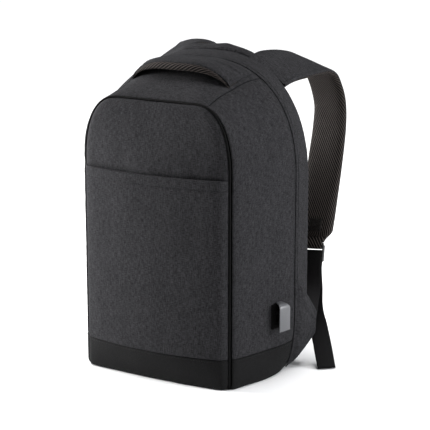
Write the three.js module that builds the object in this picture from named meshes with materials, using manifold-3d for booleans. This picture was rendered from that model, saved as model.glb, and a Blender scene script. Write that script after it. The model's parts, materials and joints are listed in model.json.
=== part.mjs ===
// A laptop backpack standing on its base: padded cloth panels sewn round a hollow compartment,
// an arched grab handle, two shoulder straps with ladder locks and webbing, and a side charging port.
// Millimetres, +Z up, +X to the wearer's right, -Y out of the front. The origin is the middle of the base,
// on the floor.
import * as THREE from "three";
import { mergeVertices } from "three/addons/utils/BufferGeometryUtils.js";
import Module from "manifold-3d";

const wasm = await Module();
wasm.setup();

// Driving dimensions of the body
const frontWidth = 220; // across the seam round the front panel
const frontHeight = 374; // floor to the top of that seam
const frontTopRun = 116; // the straight stretch of its top edge
const backWidth = 296; // across the back edge
const bodyHeight = 423; // floor to the top of the back edge
const bodyDepth = 147; // front seam to back edge
const shoulderDrop = 173; // height of the back edge's rounded shoulders
const shoulderPower = 2.35; // 2 is an ellipse, more is squarer
const zipSeamDepth = 112; // front seam to the seam of the rear gusset
const trimHeight = 42; // black band round the foot
const pocketHeight = 280; // floor to the mouth of the front pocket
const frontBulge = 15; // how far the front bows out
const seamHem = 1.6; // thickness of the front panel where it is sewn in
const frontPillow = 4.5; // how far the front stands proud of its hem
const wall = 4; // padded cloth
const pocketWall = 2.5;
const pocketSlack = 1; // air between the pocket's cloth and the wall behind it
const seamGap = 0.3; // clearance between pieces that are sewn together
const seamLean = 0.3; // how far a panel's inner edge stays back from the seam, as a share of its wall
const pipingRadius = 1.5;
const pipingRecess = 2.2; // the front panel's edge stays this far inside the seam line
const footTuck = 0.3; // share of the bulge that is left at the floor
const crownTuck = 0.15; // share of the bulge that is left at the top seam

// Driving dimensions of the back, the handle, the straps and the port
const backPadThickness = 11;
const backPadInset = 2.5;
const backPadCutback = 13; // extra inset under the straps' roots
const backPadRim = 26; // from its hem's edge to its full thickness
const yokeRun = 94;
const yokeRise = 8;
const yokeDepth = 26;
const yokeHang = 9.5; // how far it hangs below the top edge
const handleSpan = 152;
const handleFront = 50; // front seam to the free edge
const handleLift = 22; // top of the free edge above the top panel
const handleSheet = 2.5;
const handleLining = 9.5; // padded mesh under the free edge
const handleBow = 10; // how much further back the free edge's ends are than its middle
const handleFlare = 8; // how much wider each side is at its seam
const handleSeam = 3; // from its back edge to the seam of the rear gusset
const strapReach = 152; // how far the straps stand out behind the back edge
const strapCover = 2.5;
const strapPad = 8;
const leftStrapLift = 24; // how much higher the left strap's outer edge arches
const innerLiftShare = 0.36; // the share of that which its inner edge gains
const webbingWidth = 25;
const webbingThickness = 1.5;
const lockWidth = 31;
const lockLength = 23;
const lockBar = 4;
const lockStart = 4; // from the pad's end to the lock
const barPitch = 9;
const lockRun = 12; // how far the webbing runs straight beyond the last bar
const patchSize = 18;
const patchThickness = 1.2;
const wingThickness = 3.2;
const wingHeight = 128; // floor to the upper corner of the strap anchor
const wingTipHeight = 54; // floor to the middle of its tip
const wingReach = 23; // how far the tip's upper corner stands behind the back edge
const wingFlare = 8; // and outside the back edge
const wingBelly = 2.5;
const tailFlare = 36; // how far outside the back edge the loose end meets the floor
const tailTuck = 10; // and how far in front of it
const tailClear = 2; // its height above the floor
const portHeight = 37.5;
const portRun = 20;
const portDepth = 13;
const portShell = 1.6;
const portRound = 9; // radius of the hood's upper and rear corners
const portFloor = 67.5; // floor to the port's lower end
const portPlace = 77; // front seam to the middle of the port

const frontHalf = frontWidth / 2;
const backHalf = backWidth / 2;
const baseMiddle = zipSeamDepth / 2;

const fabric = new THREE.MeshStandardMaterial({ color: 0x3b3b3d, roughness: 0.9, metalness: 0 });
const trim = new THREE.MeshStandardMaterial({ color: 0x232324, roughness: 0.8, metalness: 0 });
const airMesh = new THREE.MeshStandardMaterial({ color: 0x272220, roughness: 0.95, metalness: 0 });
const webbing = new THREE.MeshStandardMaterial({ color: 0x1c1b1c, roughness: 0.7, metalness: 0 });
const plastic = new THREE.MeshStandardMaterial({ color: 0x161617, roughness: 0.45, metalness: 0 });
const portPlastic = new THREE.MeshStandardMaterial({ color: 0x85868a, roughness: 0.5, metalness: 0 });

// The body's cross-sections from front to back, as shares. depth is of bodyDepth; spread and rise run
// from the front's width and height to the back's; flat is of half of frontTopRun; drop is of
// shoulderDrop; footRun and footRise, the rounding of the lower corners, are of trimHeight; turn is the
// angle up the shoulder, in degrees, at which the top panel's side seam runs.
const bodySections = [
  { depth: 0, spread: 0, rise: 0, flat: 1, drop: 0.53, footRun: 0.08, footRise: 0.2, turn: 74 },
  { depth: 0.02, spread: 0.14, rise: 0.05, flat: 0.9, drop: 0.54, footRun: 0.08, footRise: 0.2, turn: 71.5 },
  { depth: 0.07, spread: 0.24, rise: 0.13, flat: 0.7, drop: 0.57, footRun: 0.09, footRise: 0.25, turn: 67.3 },
  { depth: 0.38, spread: 0.62, rise: 0.47, flat: 0.22, drop: 0.7, footRun: 0.1, footRise: 0.5, turn: 61.4 },
  { depth: 0.6, spread: 0.84, rise: 0.73, flat: 0.16, drop: 0.8, footRun: 0.22, footRise: 1.1, turn: 59 },
  { depth: 0.762, spread: 0.95, rise: 0.88, flat: 0.14, drop: 0.88, footRun: 0.45, footRise: 1.9, turn: 56 },
  { depth: 1, spread: 1, rise: 1, flat: 0.07, drop: 1, footRun: 0.8, footRise: 1.8, turn: 52 },
];

// The straps' edges from root to tip, as shares. Across (x) is of backHalf, back (y) is of strapReach
// behind the back edge, and up (z) is of bodyHeight. lift is the share of leftStrapLift that the left
// strap gains.
const strapSections = [
  { outerX: 0.743, outerY: 0.012, outerZ: 0.898, innerX: 0.355, innerY: 0.012, innerZ: 0.98, lift: 0 },
  { outerX: 0.757, outerY: 0.17, outerZ: 0.91, innerX: 0.358, innerY: 0.19, innerZ: 0.99, lift: 0.25 },
  { outerX: 0.777, outerY: 0.41, outerZ: 0.914, innerX: 0.368, innerY: 0.4, innerZ: 0.987, lift: 0.55 },
  { outerX: 0.797, outerY: 0.6, outerZ: 0.916, innerX: 0.385, innerY: 0.585, innerZ: 0.978, lift: 0.78 },
  { outerX: 0.824, outerY: 0.755, outerZ: 0.914, innerX: 0.405, innerY: 0.73, innerZ: 0.965, lift: 1 },
  { outerX: 0.851, outerY: 0.842, outerZ: 0.897, innerX: 0.446, innerY: 0.875, innerZ: 0.937, lift: 0.9 },
  { outerX: 0.878, outerY: 0.882, outerZ: 0.864, innerX: 0.486, innerY: 0.965, innerZ: 0.878, lift: 0.55 },
  { outerX: 0.909, outerY: 0.891, outerZ: 0.825, innerX: 0.52, innerY: 0.992, innerZ: 0.832, lift: 0.25 },
  { outerX: 0.936, outerY: 0.868, outerZ: 0.778, innerX: 0.547, innerY: 1, innerZ: 0.783, lift: 0.1 },
  { outerX: 0.979, outerY: 0.776, outerZ: 0.727, innerX: 0.581, innerY: 0.914, innerZ: 0.718, lift: 0 },
  { outerX: 1.003, outerY: 0.707, outerZ: 0.686, innerX: 0.605, innerY: 0.836, innerZ: 0.681, lift: 0 },
  { outerX: 1.022, outerY: 0.624, outerZ: 0.617, innerX: 0.642, innerY: 0.697, innerZ: 0.615, lift: 0 },
  { outerX: 1.033, outerY: 0.53, outerZ: 0.522, innerX: 0.692, innerY: 0.539, innerZ: 0.52, lift: 0 },
  { outerX: 1.045, outerY: 0.434, outerZ: 0.436, innerX: 0.732, innerY: 0.411, innerZ: 0.432, lift: 0 },
  { outerX: 1.044, outerY: 0.37, outerZ: 0.376, innerX: 0.744, innerY: 0.342, innerZ: 0.369, lift: 0 },
];

// How the loose end hangs from the lock to the floor. run is the share of the straight way there, and
// inwards and back are how far it hangs beside that, as shares of webbingWidth. turn is the share of its
// twist.
const tailSections = [
  { run: 0.23, inwards: 0.36, back: 0.45, turn: 0.05 },
  { run: 0.4, inwards: 0.58, back: 0.6, turn: 0.12 },
  { run: 0.525, inwards: 0.65, back: 0.71, turn: 0.25 },
  { run: 0.63, inwards: 0.56, back: 0.7, turn: 0.4 },
  { run: 0.81, inwards: 0.29, back: 0.39, turn: 0.75 },
  { run: 1, inwards: 0, back: 0, turn: 1 },
];

const lerp = (a, b, t) => a + (b - a) * t;
const clamp01 = (t) => Math.min(1, Math.max(0, t));
const smooth = (t) => clamp01(t) ** 2 * (3 - 2 * clamp01(t));
const vec = (x, y, z) => new THREE.Vector3(x, y, z);

// The value of one column of a table at a key, on a smooth line through the rows.
function column(rows, keyName, key, name) {
  const last = rows.length - 2;
  let i = 0;
  while (i < last && key > rows[i + 1][keyName]) i++;
  const [a, b] = [rows[i], rows[i + 1]];
  const span = b[keyName] - a[keyName];
  const t = clamp01((key - a[keyName]) / span);
  const slope = (j) => (rows[j + 1][name] - rows[j][name]) / (rows[j + 1][keyName] - rows[j][keyName]);
  const here = slope(i);
  const harmonic = (p, q) => (p * q <= 0 ? 0 : (2 * p * q) / (p + q));
  const m0 = i > 0 ? harmonic(slope(i - 1), here) : here;
  const m1 = i < last ? harmonic(here, slope(i + 1)) : here;
  const [t2, t3] = [t * t, t * t * t];
  return (2 * t3 - 3 * t2 + 1) * a[name] + (t3 - 2 * t2 + t) * span * m0
    + (3 * t2 - 2 * t3) * b[name] + (t3 - t2) * span * m1;
}

// The body's cross-section at a depth behind the front seam, in millimetres.
function section(y) {
  const key = clamp01(y / bodyDepth);
  const at = (name) => column(bodySections, "depth", key, name);
  return {
    y,
    half: lerp(frontHalf, backHalf, at("spread")),
    top: lerp(frontHeight, bodyHeight, at("rise")),
    flat: (at("flat") * frontTopRun) / 2,
    drop: at("drop") * shoulderDrop,
    footRun: at("footRun") * trimHeight,
    footRise: at("footRise") * trimHeight,
    turn: THREE.MathUtils.degToRad(at("turn")),
  };
}

// Half the section's width at a height below its shoulder.
function halfWidth(s, z) {
  const left = Math.max(0, 1 - z / s.footRise);
  return s.half - s.footRun * (1 - Math.sqrt(1 - left * left));
}

// A point on the section's shoulder, from 0 at its foot to a quarter turn at the straight top.
function shoulder(s, angle) {
  const x = s.flat + (s.half - s.flat) * Math.max(0, Math.cos(angle)) ** (2 / shoulderPower);
  const z = s.top - s.drop * (1 - Math.max(0, Math.sin(angle)) ** (2 / shoulderPower));
  return [x, z];
}

// The stretches of the right half of a section, from the middle of the base to the middle of the top.
// Each takes t from 0 to 1 and gives [x, z].
const stretches = {
  floor: (s, t) => [(s.half - s.footRun) * t, 0],
  foot: (s, t) => {
    const z = trimHeight * (1 - Math.cos((t * Math.PI) / 2));
    return [halfWidth(s, z), z];
  },
  side: (s, t) => {
    const z = lerp(trimHeight, s.top - s.drop, t);
    return [halfWidth(s, z), z];
  },
  shoulderSide: (s, t) => shoulder(s, s.turn * t),
  shoulderTop: (s, t) => shoulder(s, lerp(s.turn, Math.PI / 2, t)),
  top: (s, t) => [s.flat * (1 - t), s.top],
};

// A line along the stretches named, as functions of the section, one for each step.
function line(plan) {
  return plan.flatMap(([name, steps, side = 1], i) => {
    const reversed = side < 0;
    const list = [];
    for (let k = i ? 1 : 0; k <= steps; k++) {
      const t = reversed ? 1 - k / steps : k / steps;
      list.push((s) => {
        const [x, z] = stretches[name](s, t);
        return [side * x, z];
      });
    }
    return list;
  });
}

// One named mesh of a geometry.
function piece(name, geometry, material) {
  geometry.computeVertexNormals();
  const mesh = new THREE.Mesh(geometry, material);
  mesh.name = name;
  return mesh;
}

// A closed geometry from points and triangles, with its faces turned outwards.
function closed(points, faces) {
  const volume = faces.reduce((sum, [a, b, c]) => {
    return sum + points[a].dot(points[b].clone().cross(points[c]));
  }, 0);
  const index = volume < 0 ? faces.flatMap(([a, b, c]) => [a, c, b]) : faces.flat();
  const geometry = new THREE.BufferGeometry();
  geometry.setAttribute("position", new THREE.Float32BufferAttribute(points.flatMap((p) => p.toArray()), 3));
  geometry.setIndex(index);
  return geometry;
}

// A closed solid between two grids of points of the same size. A ring's rows join end to start.
function between(outer, inner, ring = false) {
  const [rows, columns] = [outer.length, outer[0].length];
  const points = [...outer.flat(), ...inner.flat()];
  const half = rows * columns;
  const at = (r, c, side) => side * half + (r % rows) * columns + c;
  const faces = [];
  const quad = (a, b, c, d) => faces.push([a, b, c], [a, c, d]);
  const lastRow = ring ? rows : rows - 1;
  for (let r = 0; r < lastRow; r++) {
    for (let c = 0; c < columns - 1; c++) {
      quad(at(r, c, 0), at(r + 1, c, 0), at(r + 1, c + 1, 0), at(r, c + 1, 0));
      quad(at(r, c, 1), at(r, c + 1, 1), at(r + 1, c + 1, 1), at(r + 1, c, 1));
    }
    quad(at(r, 0, 0), at(r, 0, 1), at(r + 1, 0, 1), at(r + 1, 0, 0));
    quad(at(r, columns - 1, 0), at(r + 1, columns - 1, 0), at(r + 1, columns - 1, 1), at(r, columns - 1, 1));
  }
  if (!ring) {
    for (let c = 0; c < columns - 1; c++) {
      quad(at(0, c, 0), at(0, c + 1, 0), at(0, c + 1, 1), at(0, c, 1));
      quad(at(rows - 1, c, 0), at(rows - 1, c, 1), at(rows - 1, c + 1, 1), at(rows - 1, c + 1, 0));
    }
  }
  return closed(points, faces);
}

// Moves the first and last points of a run of points inwards along it, by half the seam gap and more.
function trimmed(run, more = 0) {
  const pull = (end, next) => end.clone().add(next.clone().sub(end).setLength(seamGap / 2 + more));
  return run.map((p, i) => {
    if (i === 0) return pull(p, run[1]);
    if (i === run.length - 1) return pull(p, run[run.length - 2]);
    return p;
  });
}

const transposed = (grid) => grid[0].map((_, c) => grid.map((row) => row[c]));

// The unit normals of a grid of points. away is a point that they lead away from.
function normals(grid, ring, away) {
  const [rows, columns] = [grid.length, grid[0].length];
  const wrap = (r) => (ring ? (r + rows) % rows : Math.min(rows - 1, Math.max(0, r)));
  return grid.map((row, r) => row.map((p, c) => {
    const along = grid[wrap(r + 1)][c].clone().sub(grid[wrap(r - 1)][c]);
    const across = row[Math.min(columns - 1, c + 1)].clone().sub(row[Math.max(0, c - 1)]);
    const n = along.cross(across).normalize();
    return n.dot(p.clone().sub(away)) < 0 ? n.negate() : n;
  }));
}

// A padded panel: a grid of points on its outside, and a wall inside it whose edges lean in a little.
function panel(grid, thickness, { ring = false, away = vec(0, baseMiddle, bodyHeight / 2) } = {}) {
  const cut = (more) => {
    const rows = ring ? grid : transposed(transposed(grid).map((run) => trimmed(run, more)));
    return rows.map((run) => trimmed(run, more));
  };
  const outer = cut(0);
  const out = normals(outer, ring, away);
  const inner = cut(thickness * seamLean).map((row, r) => row.map((p, c) => {
    return p.clone().addScaledVector(out[r][c], -thickness);
  }));
  return between(outer, inner, ring);
}

// Depths behind the front seam, close together at the roll beside it.
const bodyDepths = [0, 0.02, 0.045, 0.07, 0.14, 0.24, 0.36, 0.5, 0.63].map((share) => share * bodyDepth);
bodyDepths.push(zipSeamDepth);
const gussetDepths = [0, 0.33, 0.67, 1].map((share) => lerp(zipSeamDepth, bodyDepth, share));

// A grid of points on the body along a line of its sections. Where the wall ends beside the piping, it
// stays clear of it.
function bodyGrid(plan, depths) {
  const sections = depths.map((y) => section(y + (y === 0 ? pipingRadius + seamGap : 0)));
  return line(plan).map((at) => sections.map((s) => {
    const [x, z] = at(s);
    return vec(x, s.y, z);
  }));
}

// The tub of black cloth that the bag stands on.
function basePanel() {
  const plan = [["foot", 6, -1], ["floor", 1, -1], ["floor", 1], ["foot", 6]];
  const outer = bodyGrid(plan, bodyDepths);
  return piece("base_panel", panel(outer, wall), trim);
}

function sidePanel(side, name) {
  const plan = side > 0 ? [["side", 4], ["shoulderSide", 8]] : [["shoulderSide", 8, -1], ["side", 4, -1]];
  return piece(name, panel(bodyGrid(plan, bodyDepths), wall), fabric);
}

function topPanel() {
  const plan = [["shoulderTop", 5], ["top", 1], ["top", 1, -1], ["shoulderTop", 5, -1]];
  return piece("top_panel", panel(bodyGrid(plan, bodyDepths), wall), fabric);
}

// The band between the long side seam and the back edge, all the way round.
function rearGusset() {
  const half = [["floor", 1], ["foot", 6], ["side", 4], ["shoulderSide", 8], ["shoulderTop", 5], ["top", 1]];
  const other = [...half].reverse().map(([name, steps]) => [name, steps, -1]);
  const grid = bodyGrid([...half, ...other], gussetDepths);
  grid.pop();
  return piece("rear_gusset", panel(grid, wall, { ring: true }), fabric);
}

// The front's outline is the front seam, less the piping's recess. Half its width at any height.
function frontHalfWidth(z) {
  const s = section(0);
  const foot = s.top - s.drop;
  if (z <= foot) return halfWidth(s, z) - pipingRecess;
  const share = Math.min(1, (z - foot) / (s.drop - pipingRecess));
  const run = s.half - pipingRecess - s.flat;
  return s.flat + run * (1 - share ** shoulderPower) ** (1 / shoulderPower);
}

// The front's outside, bowed across and up, with soft edges. offset moves it in or out.
function frontPoint(share, z, offset) {
  const edge = frontHalfWidth(z);
  const x = share * edge;
  const foot = smooth(z / trimHeight);
  const crown = 1 - smooth((z - pocketHeight) / (frontHeight - pocketHeight));
  const bow = frontBulge * lerp(footTuck, 1, foot) * lerp(crownTuck, 1, crown) * (1 - share * share);
  const toEdge = Math.min((1 - Math.abs(share)) * edge, frontHeight - pipingRecess - z, z + frontPillow);
  const pillow = frontPillow * (1 - Math.exp(-toEdge / frontPillow));
  return vec(x, Math.min(0, -seamHem - bow - pillow - offset), z);
}

// Shares of the half width, close together at the soft edges.
const frontShares = [0, 0.2, 0.4, 0.6, 0.78, 0.9, 0.955, 0.985, 1];
const frontColumns = [...frontShares.slice(1).reverse().map((share) => -share), ...frontShares];

function frontSheet(name, heights, offset, thickness, material) {
  const outer = heights.map((z) => frontColumns.map((share) => frontPoint(share, z, offset)));
  const inner = heights.map((z) => frontColumns.map((share) => frontPoint(share, z, offset - thickness)));
  return piece(name, between(outer, inner), material);
}

// Heights from low to high, closer together near the top seam.
function frontHeights(low, high, steps, power) {
  return Array.from({ length: steps + 1 }, (_, i) => lerp(high, low, (1 - i / steps) ** power));
}

function frontPieces() {
  const seam = frontHeight - pipingRecess;
  const lap = pocketWall + pocketSlack;
  const pocketFoot = trimHeight + seamGap;
  return [
    frontSheet("front_panel", frontHeights(pipingRadius, seam, 18, 2), 0, wall, fabric),
    frontSheet("front_pocket", frontHeights(pocketFoot, pocketHeight, 3, 1), lap, pocketWall, fabric),
    frontSheet("front_trim", frontHeights(pipingRadius, trimHeight, 6, 1), lap, pocketWall, trim),
  ];
}

// The foam panel that lies against the wearer's back, with a flat hem that closes the rear gusset.
function backPad() {
  const s = section(bodyDepth);
  const half = [["foot", 6], ["side", 4], ["shoulderSide", 8], ["shoulderTop", 5], ["top", 1]];
  const other = [...half].reverse().map(([name, steps]) => [name, steps, -1]);
  const middle = vec(0, bodyDepth, bodyHeight / 2);
  const outline = line([...half, ...other]).map((at) => {
    const [x, z] = at(s);
    const cut = backPadInset + backPadCutback * smooth((z - (s.top - s.drop)) / (s.drop / 3));
    const p = vec(x, bodyDepth, Math.max(z, backPadInset));
    return p.add(middle.clone().sub(p).setLength(cut));
  });
  const rims = [
    { inset: 0, back: seamGap / backPadThickness },
    { inset: 0, back: 0.18 },
    { inset: 0.42, back: 0.2 },
    { inset: 0.5, back: 0.65 },
    { inset: 0.65, back: 0.9 },
    { inset: 1, back: 1 },
  ];
  const rings = rims.map(({ inset, back }) => outline.map((p) => {
    const inwards = middle.clone().sub(p).setLength(inset * backPadRim || 1e-6);
    return p.clone().add(inwards).setY(bodyDepth + back * backPadThickness);
  }));
  const points = rings.flat();
  const count = outline.length;
  const faces = [];
  for (let r = 0; r < rings.length - 1; r++) {
    for (let i = 0; i < count; i++) {
      const [a, b] = [r * count + i, r * count + ((i + 1) % count)];
      faces.push([a, b, b + count], [a, b + count, a + count]);
    }
  }
  const [front, back] = [points.length, points.length + 1];
  points.push(vec(0, bodyDepth + seamGap, middle.z), vec(0, bodyDepth + backPadThickness, middle.z));
  const lastRing = (rings.length - 1) * count;
  for (let i = 0; i < count; i++) {
    const next = (i + 1) % count;
    faces.push([front, next, i], [back, lastRing + i, lastRing + next]);
  }
  return piece("back_panel", closed(points, faces), airMesh);
}

// A closed sweep of an outline through frames. A frame has a centre, a half-width vector along its width
// and a unit normal; the outline's points are shares of the half width and heights along the normal. The
// outline runs across and back again. A twisted band keeps its thickness because both of its faces are
// split along the same diagonals.
function sweep(frames, outlineAt) {
  const rings = frames.map((f, i) => outlineAt(f, i / (frames.length - 1)).map(([across, up]) => {
    return f.centre.clone().addScaledVector(f.width, across).addScaledVector(f.normal, up);
  }));
  const count = rings[0].length;
  const points = rings.flat();
  const faces = [];
  for (let r = 0; r < rings.length - 1; r++) {
    for (let i = 0; i < count; i++) {
      const [a, b] = [r * count + i, r * count + ((i + 1) % count)];
      if (i < count / 2) faces.push([a, b, b + count], [a, b + count, a + count]);
      else faces.push([a, b, a + count], [b, b + count, a + count]);
    }
  }
  const lastRing = (rings.length - 1) * count;
  for (let i = 1; i < count - 1; i++) {
    faces.push([0, i + 1, i], [lastRing, lastRing + i, lastRing + i + 1]);
  }
  return closed(points, faces);
}

// Black piping round the front panel, from the floor up one side, over the top and down again.
function frontPiping() {
  const s = section(0);
  const low = 2 * pipingRadius;
  const arc = 11;
  const points = [[halfWidth(s, low), low], [halfWidth(s, trimHeight), trimHeight]];
  for (let i = 0; i <= arc; i++) points.push(shoulder(s, (i / arc) * (Math.PI / 2)));
  const mirrored = [...points].reverse().map(([x, z]) => [-x, z]);
  const run = [...points, ...mirrored].map(([x, z]) => vec(x, 0, z));
  const frames = run.map((centre, i) => {
    const along = run[Math.min(run.length - 1, i + 1)].clone().sub(run[Math.max(0, i - 1)]);
    const width = vec(0, pipingRadius, 0);
    return { centre, width, normal: along.cross(width).normalize() };
  });
  const ring = Array.from({ length: 6 }, (_, k) => {
    const a = (k / 6) * Math.PI * 2;
    return [Math.cos(a), Math.sin(a) * pipingRadius];
  });
  return piece("front_piping", sweep(frames, () => ring), trim);
}

// Frames along a strap from the two lines of its edges.
function edgeFrames(outerEdge, innerEdge, steps, outwards) {
  const outerPoints = outerEdge.getPoints(steps);
  const innerPoints = innerEdge.getPoints(steps);
  const centres = outerPoints.map((p, i) => p.clone().lerp(innerPoints[i], 0.5));
  return centres.map((centre, i) => {
    const width = innerPoints[i].clone().sub(outerPoints[i]).multiplyScalar(0.5);
    const along = centres[Math.min(steps, i + 1)].clone().sub(centres[Math.max(0, i - 1)]);
    const normal = along.cross(width).normalize().multiplyScalar(outwards);
    return { centre, width, normal };
  });
}

// Both edges of the right strap, or of the left one at side -1.
function strapFrames(side, steps) {
  const edge = (name) => new THREE.CatmullRomCurve3(strapSections.map((row) => {
    const share = name === "outer" ? 1 : innerLiftShare;
    const lift = side < 0 ? row.lift * share * leftStrapLift : 0;
    return vec(
      side * row[name + "X"] * backHalf,
      bodyDepth + row[name + "Y"] * strapReach,
      row[name + "Z"] * bodyHeight + lift,
    );
  }), false, "centripetal");
  return edgeFrames(edge("outer"), edge("inner"), steps, side);
}

// The strap's lower end is cut in at both corners to meet the lock's webbing.
function cornerCut(t) {
  return 1 - 0.42 * smooth((t - 0.955) / 0.045);
}

const strapSteps = 34;

function strapCoverPiece(side, name) {
  const outlineAt = (f, t) => {
    const w = cornerCut(t);
    const up = strapCover;
    return [[-w, 0], [-0.96 * w, 0.8 * up], [-0.8 * w, up], [0.8 * w, up], [0.96 * w, 0.8 * up], [w, 0]];
  };
  return piece(name, sweep(strapFrames(side, strapSteps), outlineAt), fabric);
}

function strapPadPiece(side, name) {
  const outlineAt = (f, t) => {
    const w = cornerCut(t);
    const thin = 1 - 0.55 * smooth((t - 0.96) / 0.04) - 0.5 * (1 - smooth(t / 0.08));
    const down = strapPad * thin;
    const gap = -seamGap;
    return [[-w, gap], [-0.99 * w, gap - 0.5 * down], [-0.92 * w, gap - 0.85 * down],
      [-0.75 * w, gap - down], [0.75 * w, gap - down], [0.92 * w, gap - 0.85 * down],
      [0.99 * w, gap - 0.5 * down], [w, gap]];
  };
  return piece(name, sweep(strapFrames(side, strapSteps), outlineAt), airMesh);
}

// The frame at the strap's lower end: its place, and its unit directions across, down and out.
function strapEnd(side) {
  const frames = strapFrames(side, strapSteps);
  const last = frames[frames.length - 1];
  const before = frames[frames.length - 3];
  const across = last.width.clone().normalize();
  const down = last.centre.clone().sub(before.centre).normalize();
  down.addScaledVector(across, -down.dot(across)).normalize();
  return { place: last.centre, across, down, out: last.normal.clone() };
}

// A point given by how far it lies across, down and out from the strap's end.
function fromEnd(end, across, down, out) {
  return end.place.clone().addScaledVector(end.across, across).addScaledVector(end.down, down)
    .addScaledVector(end.out, out);
}

// A flat band of webbing through rows of { at, width }, where width is its unit width direction.
function band(rows, wide, thick, steps) {
  const centre = new THREE.CatmullRomCurve3(rows.map((row) => row.at), false, "centripetal");
  const turned = new THREE.CatmullRomCurve3(rows.map((row) => row.width), false, "centripetal");
  const centres = centre.getPoints(steps);
  const widths = turned.getPoints(steps);
  const frames = centres.map((p, i) => {
    const along = centres[Math.min(steps, i + 1)].clone().sub(centres[Math.max(0, i - 1)]).normalize();
    const across = widths[i].clone();
    across.addScaledVector(along, -across.dot(along)).normalize();
    const normal = along.clone().cross(across).normalize();
    return { centre: p, width: across.clone().multiplyScalar(wide / 2), normal };
  });
  return sweep(frames, () => [[-1, -thick / 2], [1, -thick / 2], [1, thick / 2], [-1, thick / 2]]);
}

// The lock's bars, down from the strap's end. The loop of webbing from the pad holds the first one and
// the long webbing turns round the second one.
const padPlane = -(strapPad * 0.25 + seamGap); // the middle of the pad's thin lower end
const barReach = lockBar / 2 + 1.5 * seamGap + webbingThickness / 2;
const lockBars = [0, 1, 2].map((i) => lockStart + lockBar / 2 + i * barPitch);

// Takes X across, Y down and Z out of the strap's end, at a place given in those directions.
function endMatrix(end, across, down, out) {
  const turn = new THREE.Matrix4().makeBasis(end.across, end.down, end.across.clone().cross(end.down));
  return turn.setPosition(fromEnd(end, across, down, out));
}

// A box with its sides along the strap's end directions, as a solid for joining and cutting.
function endBox(end, across, down, out, wide, long, thick) {
  return solid(new THREE.BoxGeometry(wide, long, thick).applyMatrix4(endMatrix(end, across, down, out)));
}

function solid(geometry) {
  const bare = geometry.clone();
  bare.deleteAttribute("normal");
  bare.deleteAttribute("uv");
  const merged = mergeVertices(bare, 1e-4);
  return new wasm.Manifold(new wasm.Mesh({
    numProp: 3,
    vertProperties: merged.attributes.position.array,
    triVerts: new Uint32Array(merged.index.array),
  }));
}

function geometryOf(manifold) {
  const { vertProperties, triVerts } = manifold.getMesh();
  const geometry = new THREE.BufferGeometry();
  geometry.setAttribute("position", new THREE.BufferAttribute(new Float32Array(vertProperties), 3));
  geometry.setIndex(new THREE.BufferAttribute(new Uint32Array(triVerts), 1));
  return geometry;
}

// A ladder lock: two cheeks and three bars, with a lip under the last bar to lift it by.
function ladderLock(side, name) {
  const end = strapEnd(side);
  const cheek = (lockWidth - webbingWidth) / 2 - seamGap * 2;
  const middle = lockStart + lockLength / 2;
  const deep = lockBar + 2;
  let body = endBox(end, (lockWidth - cheek) / 2, middle, padPlane, cheek, lockLength, deep);
  body = body.add(endBox(end, -(lockWidth - cheek) / 2, middle, padPlane, cheek, lockLength, deep));
  const barWidth = lockWidth - cheek;
  lockBars.slice(0, 2).forEach((down) => {
    const bar = new THREE.CylinderGeometry(lockBar / 2, lockBar / 2, barWidth, 12);
    bar.rotateZ(Math.PI / 2).applyMatrix4(endMatrix(end, 0, down, padPlane));
    body = body.add(solid(bar));
  });
  body = body.add(endBox(end, 0, lockBars[2], padPlane, barWidth, lockBar + 1.5, lockBar));
  return piece(name, geometryOf(body), plastic);
}

// The short webbing sewn into the pad's end, looped through the lock's first slot.
function lockLoop(side, name) {
  const end = strapEnd(side);
  const rows = [];
  const legs = [1, -1].map((face) => face * barReach);
  const add = (down, out) => rows.push({ at: fromEnd(end, 0, down, padPlane + out), width: end.across });
  add(seamGap * 2, legs[0]);
  for (let i = 0; i <= 8; i++) {
    const a = (i / 8) * Math.PI;
    add(lockBars[0] + barReach * Math.sin(a), barReach * Math.cos(a));
  }
  add(seamGap * 2, legs[1]);
  return piece(name, band(rows, webbingWidth, webbingThickness, 3 * (rows.length - 1)), webbing);
}

// The strap anchor's blunt end, from its upper corner to its lower one.
const wingTipHigh = vec(backHalf + wingFlare / 2, bodyDepth + wingReach, wingTipHeight * 1.25);
const wingTipLow = vec(backHalf + wingFlare, bodyDepth + wingReach * 0.5, wingTipHeight * 0.8);

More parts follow.
